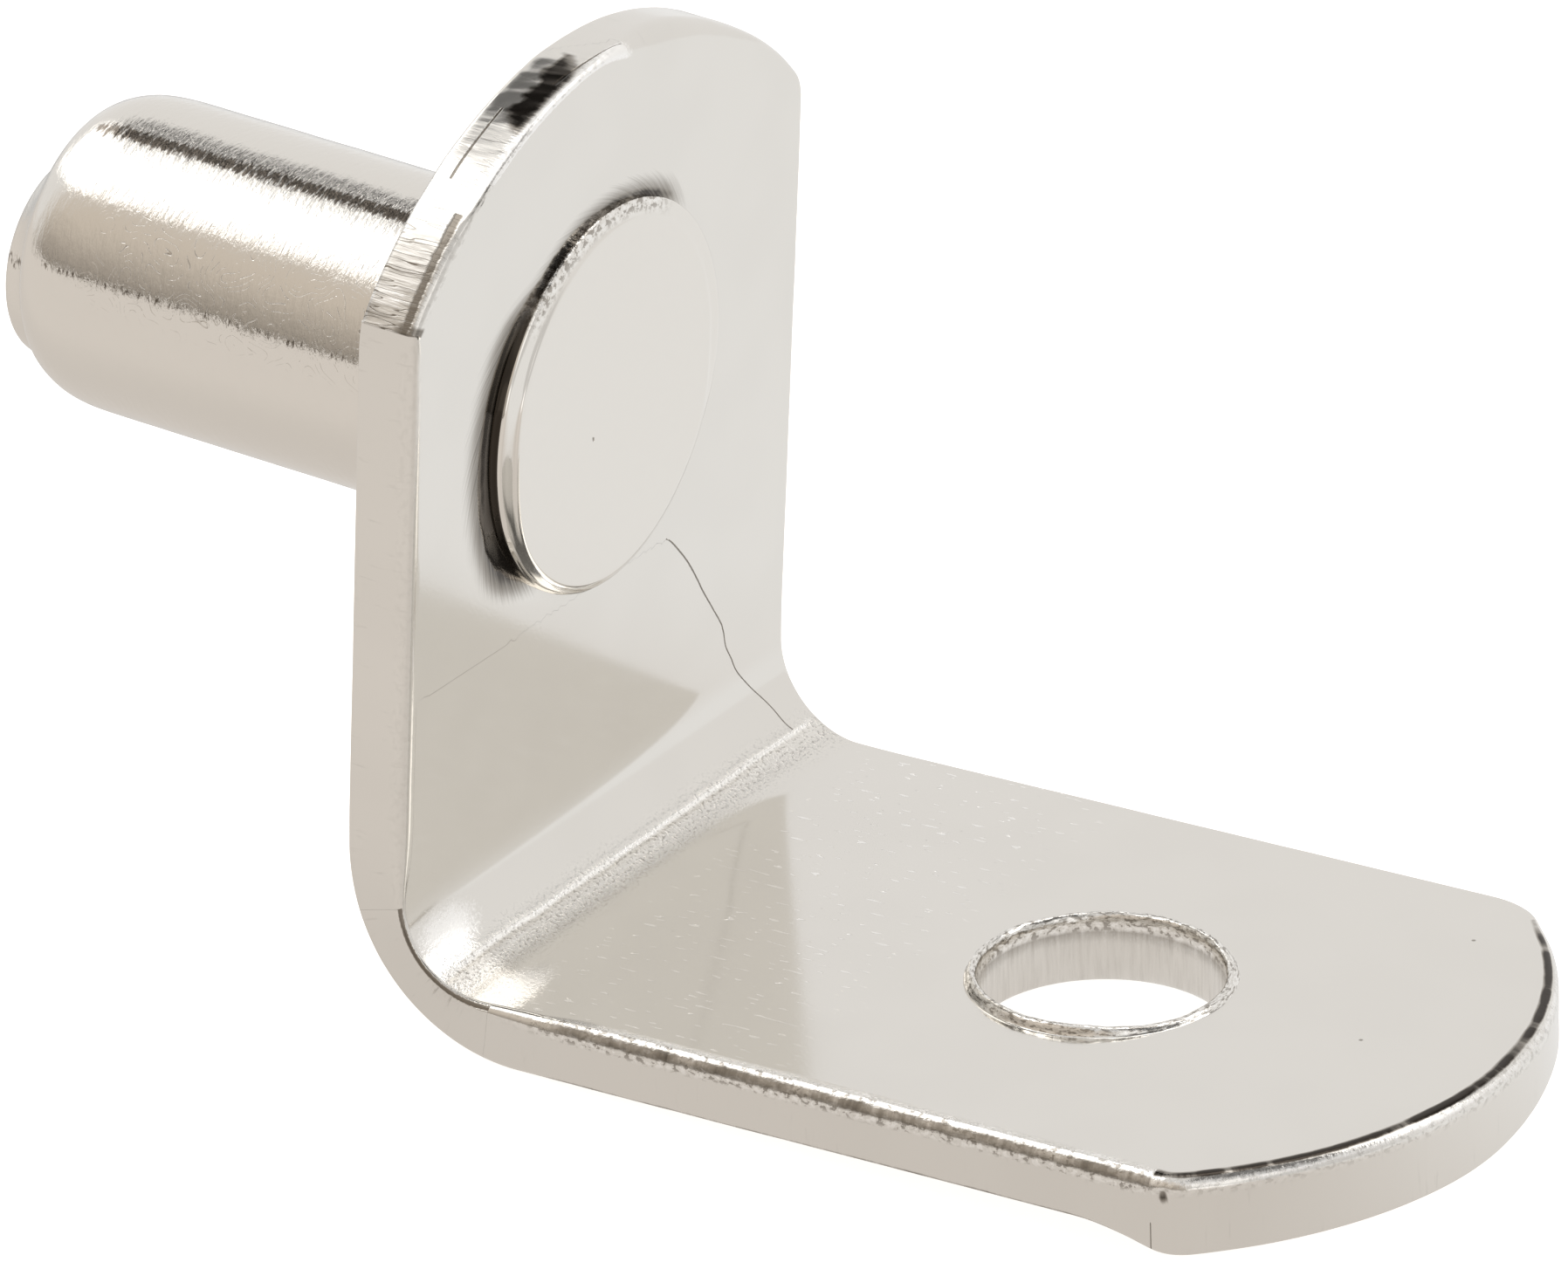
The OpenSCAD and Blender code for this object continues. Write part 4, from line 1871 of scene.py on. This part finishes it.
                marks[Surface.LINE] = np.clip(np.hypot((r * y + 0.64) * 1.6, (r * z + 0.46) * 0.6), 0, 1)
        return place_x, radius, marks

    def _shank(self, x: float, r: float) -> tuple[Array, dict[Surface, Array]]:
        """One ring of the shank or its lead-in, with painted reflections along it.

        They are two dark streaks, a bright streak beside the first near the shoulder, and a bright arc
        on the end's rim.

        Args:
            x: The ring's place along the pin.
            r: Its radius.

        Returns:
            The samples' radii and their marks.
        """
        turn, along = self.turn, float(smooth(x, -8.1, -7.7))
        # A painted highlight streak near the shoulder, and a painted highlight on the end's rim.
        streak = 0.42 * hump(turn, self.streak_at - 2, 6) * float(smooth(x, -6.0, -3.0))
        end_rim = 0.9 * hump(turn, 262, 60) * float(hump(r, 2.10, 0.10) * (x < -8))
        # Two painted dark reflection streaks along the shank.
        wear_and_light_marks = np.maximum(0.78 * hump(turn, self.streak_at, 8.0), 0.46 * hump(turn, self.fade_at, 3.8))
        radius = r + 0.006 * Grain(63).fine(x * 1.2 + 0 * turn, self.y * 2, self.z * 2)
        return radius, {Surface.BRIGHT: np.maximum(streak, end_rim), Surface.GALLED_AND_DARK_REFLECTION: wear_and_light_marks * along}

    def _boss(self, x: float, r: float) -> tuple[Array, dict[Surface, Array]]:
        """One ring of the boss, which blends into the flat end above and is darker on its near side.

        Args:
            x: The ring's place along the pin.
            r: Its radius.

        Returns:
            The samples' radii and their marks.
        """
        fill = np.clip((x - self.tip_x) / self.boss_h, 0, 1) ** 1.3
        radius = r + self.boss_fillet * smooth(self.z, -0.2, 0.7) * fill
        return radius, {Surface.GALLED_AND_DARK_REFLECTION: 0.55 * hump(self.turn, 288, 10)}

    def _row(self, draft: MeshDraft, station: Array, run: float) -> Array:
        """Adds one ring of the turned surface, out of true as the heading and riveting left it.

        Args:
            draft: The piece.
            station: The ring's place along the pin, its radius and its share of the boss's drop.
            run: Its distance along the outline from the head's middle.

        Returns:
            The new vertices' numbers.
        """
        x, r, drop = station
        flat = np.stack([np.full(self.steps, run), self.around, 0 * self.around], -1)
        marks = self._plain_marks(flat)
        marks[Surface.SHEAR] += float(x < -0.5)
        marks[Surface.SCORED] += hump(self.turn, 295, 26) * band(x, (-7.2, -6.2), (-1.8, -1.0))
        place_x, radius, wear_and_light = np.full(self.steps, x), np.full(self.steps, r), {}
        if x > 0:
            place_x, radius, wear_and_light = self._head(x, r)
        elif drop == 1:
            radius, wear_and_light = self._boss(x, r)
        elif x < 0 and drop == 0:
            radius, wear_and_light = self._shank(x, r)
        rise = self.lean * np.maximum(-place_x, 0) - self.boss_drop * drop
        points = np.stack([place_x, radius * self.y, radius * self.z + rise], -1)
        return draft.add(points, marks | wear_and_light)

    def build(self) -> bpy.types.Object:
        """Builds the pin.

        Returns:
            The finished piece.
        """
        draft = MeshDraft()
        points = self._head_profile() + self._shank_profile()
        profile = np.array(points + self._boss_profile(points[-1][1]))
        runs = path_length(profile[:, :2])
        rows = [self._row(draft, station, run) for station, run in zip(profile, runs)]
        draft.bridge(rows, flip=True)
        for index, outward in ((0, False), (-1, True)):
            x, _, drop = profile[index]
            if x > self.thick:
                x = self.thick + (x - self.thick) * (1 - self.head_tilt)
            centre = np.array([[x, 0.0, self.lean * max(-x, 0.0) - self.boss_drop * drop]])
            number = draft.add(centre, self._plain_marks(np.array([[x, 0.0, 0.0]])))
            draft.cap(rows[index], int(number[0]), outward)
        return draft.make("pin_plated", self.finish.material("pin_nickel_finish"))


# ---------------------------------------------------------------------------------------------
# The studio
# ---------------------------------------------------------------------------------------------


def heading(azimuth: float, elevation: float) -> Vector:
    """The unit vector that points an azimuth right of +Y and an elevation above level, in degrees."""
    a, e = math.radians(azimuth), math.radians(elevation)
    return Vector((math.sin(a) * math.cos(e), math.cos(a) * math.cos(e), math.sin(e)))


@dataclass(frozen=True)
class SkyPatch:
    """A soft oval patch of the surroundings; angles are in degrees."""

    azimuth: float
    elevation: float
    half_w: float
    half_h: float
    gain: float
    tilt: float = 0.0
    edge: float = 0.4

    def amount(self, g: Graph, direction: Link) -> Link:
        """How much of the patch lies in a direction.

        Args:
            g: The world's graph.
            direction: The direction looked in.

        Returns:
            The amount, from 0 to the patch's gain.
        """
        middle = heading(self.azimuth, self.elevation)
        level = Vector((middle.y, -middle.x, 0)).normalized()
        upright = level.cross(middle)
        c, s = math.cos(math.radians(self.tilt)), math.sin(math.radians(self.tilt))
        across = (level * c + upright * s) / math.sin(math.radians(self.half_w))
        along = (upright * c - level * s) / math.sin(math.radians(self.half_h))
        p, q, ahead = (g.dot(direction, axis) for axis in (across, along, middle))
        reach = p * p + q * q
        return self.gain * (g.eased(reach, 1 + self.edge, 1 - self.edge) * g.eased(ahead, 0.0, 0.2))


@dataclass
class Studio:
    """The pale floor, the soft light round it and the camera."""

    floor_z: float
    floor_half: float = 1.2
    eye: tuple[float, float, float] = (0.085888, -0.135231, 0.075232)
    azimuth: float = 31.115
    elevation: float = 26.350
    roll: float = 2.242
    lens: float = 268.5
    sensor: float = 36.0
    clip_start: float = 0.01
    white: Colour = (1.0, 1.0, 1.0, 1.0)
    paper: Colour = (0.80, 0.785, 0.765, 1.0)
    paper_glow: Colour = (1.0, 0.99, 0.975, 1.0)
    warm_glow_in_front: Colour = (1.06, 1.0, 0.945, 1.0)
    sky: Colour = (1.0, 0.988, 0.978, 1.0)
    sky_in_front: Colour = (1.0, 0.90, 0.79, 1.0)
    dark: tuple[SkyPatch, ...] = (
        SkyPatch(60, 64, 42, 20, gain=0.80, edge=0.3),
        SkyPatch(-46, 50, 11, 7, gain=0.96, tilt=-35, edge=0.15),
    )
    bright: tuple[SkyPatch, ...] = (
        SkyPatch(126, 0, 11, 12, gain=0.6, edge=0.5),
        SkyPatch(117, 40, 13, 25, gain=0.5),
        SkyPatch(22, 57, 35, 10, gain=1.8, tilt=-25),
    )
    lamp_ends: tuple[tuple[float, float], ...] = ((-128, 57), (-66, 24))
    lamp_distance: float = 0.40
    lamp_half_angles: tuple[float, float] = (28, 15)
    lamp_level: float = 1.40
    lamp_colour: tuple[float, float, float] = (1.0, 0.995, 0.99)

    @staticmethod
    def _place(name: str, data: bpy.types.ID, where: Vector, axes: tuple[Vector, ...]) -> bpy.types.Object:
        """Puts a camera or a lamp into the scene.

        Args:
            name: The object's name.
            data: What it shows.
            where: Its place.
            axes: Its own X, Y and Z.

        Returns:
            The new object.
        """
        made = bpy.data.objects.new(name, data)
        made.matrix_world = Matrix.Translation(where) @ Matrix(axes).transposed().to_4x4()
        bpy.context.scene.collection.objects.link(made)
        return made

    def camera(self) -> None:
        """Sets up the camera.

        Its own axes follow from where it stands, seen from the object: an azimuth right of -Y
        and an elevation, and then its roll.
        """
        a, e, r = (math.radians(v) for v in (self.azimuth, self.elevation, self.roll))
        back = Vector((math.sin(a) * math.cos(e), -math.cos(a) * math.cos(e), math.sin(e)))
        level = Vector((math.cos(a), math.sin(a), 0))
        upward = back.cross(level)
        right = level * math.cos(r) + upward * math.sin(r)
        up = upward * math.cos(r) - level * math.sin(r)
        data = bpy.data.cameras.new("camera")
        data.lens = self.lens
        data.sensor_width = self.sensor
        data.sensor_fit = "HORIZONTAL"
        data.clip_start = self.clip_start
        bpy.context.scene.camera = self._place("camera", data, Vector(self.eye), (right, up, back))

    def floor(self) -> None:
        """Lays the pale floor.

        It is one square round the origin, at the object's lowest point.
        """
        mesh = bpy.data.meshes.new("floor")
        corners = ((-1, -1), (1, -1), (1, 1), (-1, 1))
        places = [(x * self.floor_half, y * self.floor_half, self.floor_z) for x, y in corners]
        mesh.from_pydata(places, [], [(0, 1, 2, 3)])
        floor = bpy.data.objects.new("floor", mesh)
        bpy.context.scene.collection.objects.link(floor)
        mesh.materials.append(self._paper())

    def _paper(self) -> bpy.types.Material:
        """The floor's paper: white to the camera, and to the metal a painted glow, warm in front and paler
        behind.

        Returns:
            The new material.
        """
        made = bpy.data.materials.new("pale_paper")
        g = Graph(made)
        place = g.node("ShaderNodeTexCoord", {}, {}, "Object")
        ahead = g.dot(place, Vector((0.3, 1, 0)))
        # To glossy rays the floor glows with painted light: dimmer and warmer in front, dimmest just in
        # front of the object as a painted contact shadow, and paler behind.
        back, front = g.eased(ahead, -0.003, 0.014), g.eased(ahead, -0.005, -0.016)
        # under: painted shade on the floor past the upright's outer face, towards the back.
        under = g.eased(g.dot(place, Vector((1, 0, 0))), -0.003, -0.014) * g.eased(ahead, 0.05, 0.02)
        level = 0.68 + 0.065 * front + 0.245 * back - 0.30 * under * back
        tint = g.blend(back, self.warm_glow_in_front, self.white)
        diffuse = g.node("ShaderNodeBsdfDiffuse", {}, {"Color": self.paper})
        glow = g.is_ray("Camera") * 0.75
        lit = g.node("ShaderNodeEmission", {}, {"Color": self.paper_glow, "Strength": glow})
        seen = g.node("ShaderNodeAddShader", {}, {0: diffuse, 1: lit})
        # The metal sees this painted glow instead of the lit paper.
        mirrored = g.node("ShaderNodeEmission", {}, {"Color": tint, "Strength": level})
        g.close(g.node("ShaderNodeMixShader", {}, {0: g.is_ray("Glossy"), 1: seen, 2: mirrored}))
        return made

    def world(self) -> None:
        """Surrounds the set with soft light.

        The surroundings are pale behind, and dimmer and warmer low down in front. Dark and
        bright patches are laid over them. The camera itself sees plain white.
        """
        world = bpy.data.worlds.new("studio")
        bpy.context.scene.world = world
        g = Graph(world)
        direction = g.node("ShaderNodeTexCoord", {}, {}, "Generated")
        behind = g.eased(g.dot(direction, Vector((-0.36, 1, 0))), -0.30, 0.15)
        height = g.dot(direction, Vector((0, 0, 1)))
        front = g.eased(g.dot(direction, heading(-165, 0)), 0.35, 0.75)
        edge_of_table = g.eased(abs(height - 0.012), 0.030, 0.008)
        level = 0.70 + 0.175 * behind
        level = level * (1 - front * (g.eased(height, 0.62, -0.06, 0.0, 0.50) + edge_of_table * 0.25))
        for patch in self.dark:
            level = level * (1 - patch.amount(g, direction))
        for patch in self.bright:
            level = level + patch.amount(g, direction)
        camera = g.is_ray("Camera")
        level = level * (1 - camera) + camera
        colour = g.blend(camera, g.blend(front, self.sky, self.sky_in_front), self.white)
        shader = g.node("ShaderNodeBackground", {}, {"Color": colour, "Strength": level})
        g.close(shader, "ShaderNodeOutputWorld")

    def softbox(self) -> None:
        """Hangs the long softbox, above and left of the object.

        Its length runs between its two ends, and it faces the object.
        """
        start, end = (heading(*where) for where in self.lamp_ends)
        middle = (start + end).normalized()
        length = (end - start).normalized()
        half_l, half_w = (math.tan(math.radians(half)) for half in self.lamp_half_angles)
        data = bpy.data.lights.new("softbox", "AREA")
        data.shape = "RECTANGLE"
        data.size = 2 * self.lamp_distance * half_l
        data.size_y = 2 * self.lamp_distance * half_w
        data.energy = self.lamp_level * math.pi * data.size * data.size_y
        data.color = self.lamp_colour
        self._place("softbox", data, middle * self.lamp_distance, (length, middle.cross(length), middle))

    def build(self) -> None:
        """Sets up the whole studio.

        The Standard view keeps the floor's white as it is.
        """
        self.camera()
        self.floor()
        self.world()
        self.softbox()
        bpy.context.scene.view_settings.view_transform = "Standard"


def main() -> None:
    """Builds the studio and the two pieces, and logs the triangles of each.

    Each piece rides on the root and stands for its own CAD node, which is hidden.
    """
    logging.basicConfig(level=logging.INFO, format="%(name)s: %(message)s")
    record = frame["record"]
    Studio(floor_z=CAD_BOUNDS[0][2]).build()
    parts = (
        (Bracket(FoldedStrip.from_frame(record)), "bracket", "strip_nickel"),
        (RivetPin.from_frame(record), "pin", "pin_nickel"),
    )
    for part, node, slot in parts:
        piece = part.build()
        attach(piece, "root")
        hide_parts(node)
        triangles = sum(len(face.vertices) - 2 for face in piece.data.polygons)
        LOG.info("%s stands for %s: %d triangles", piece.name, node, triangles)


if __name__ == "__main__":
    main()
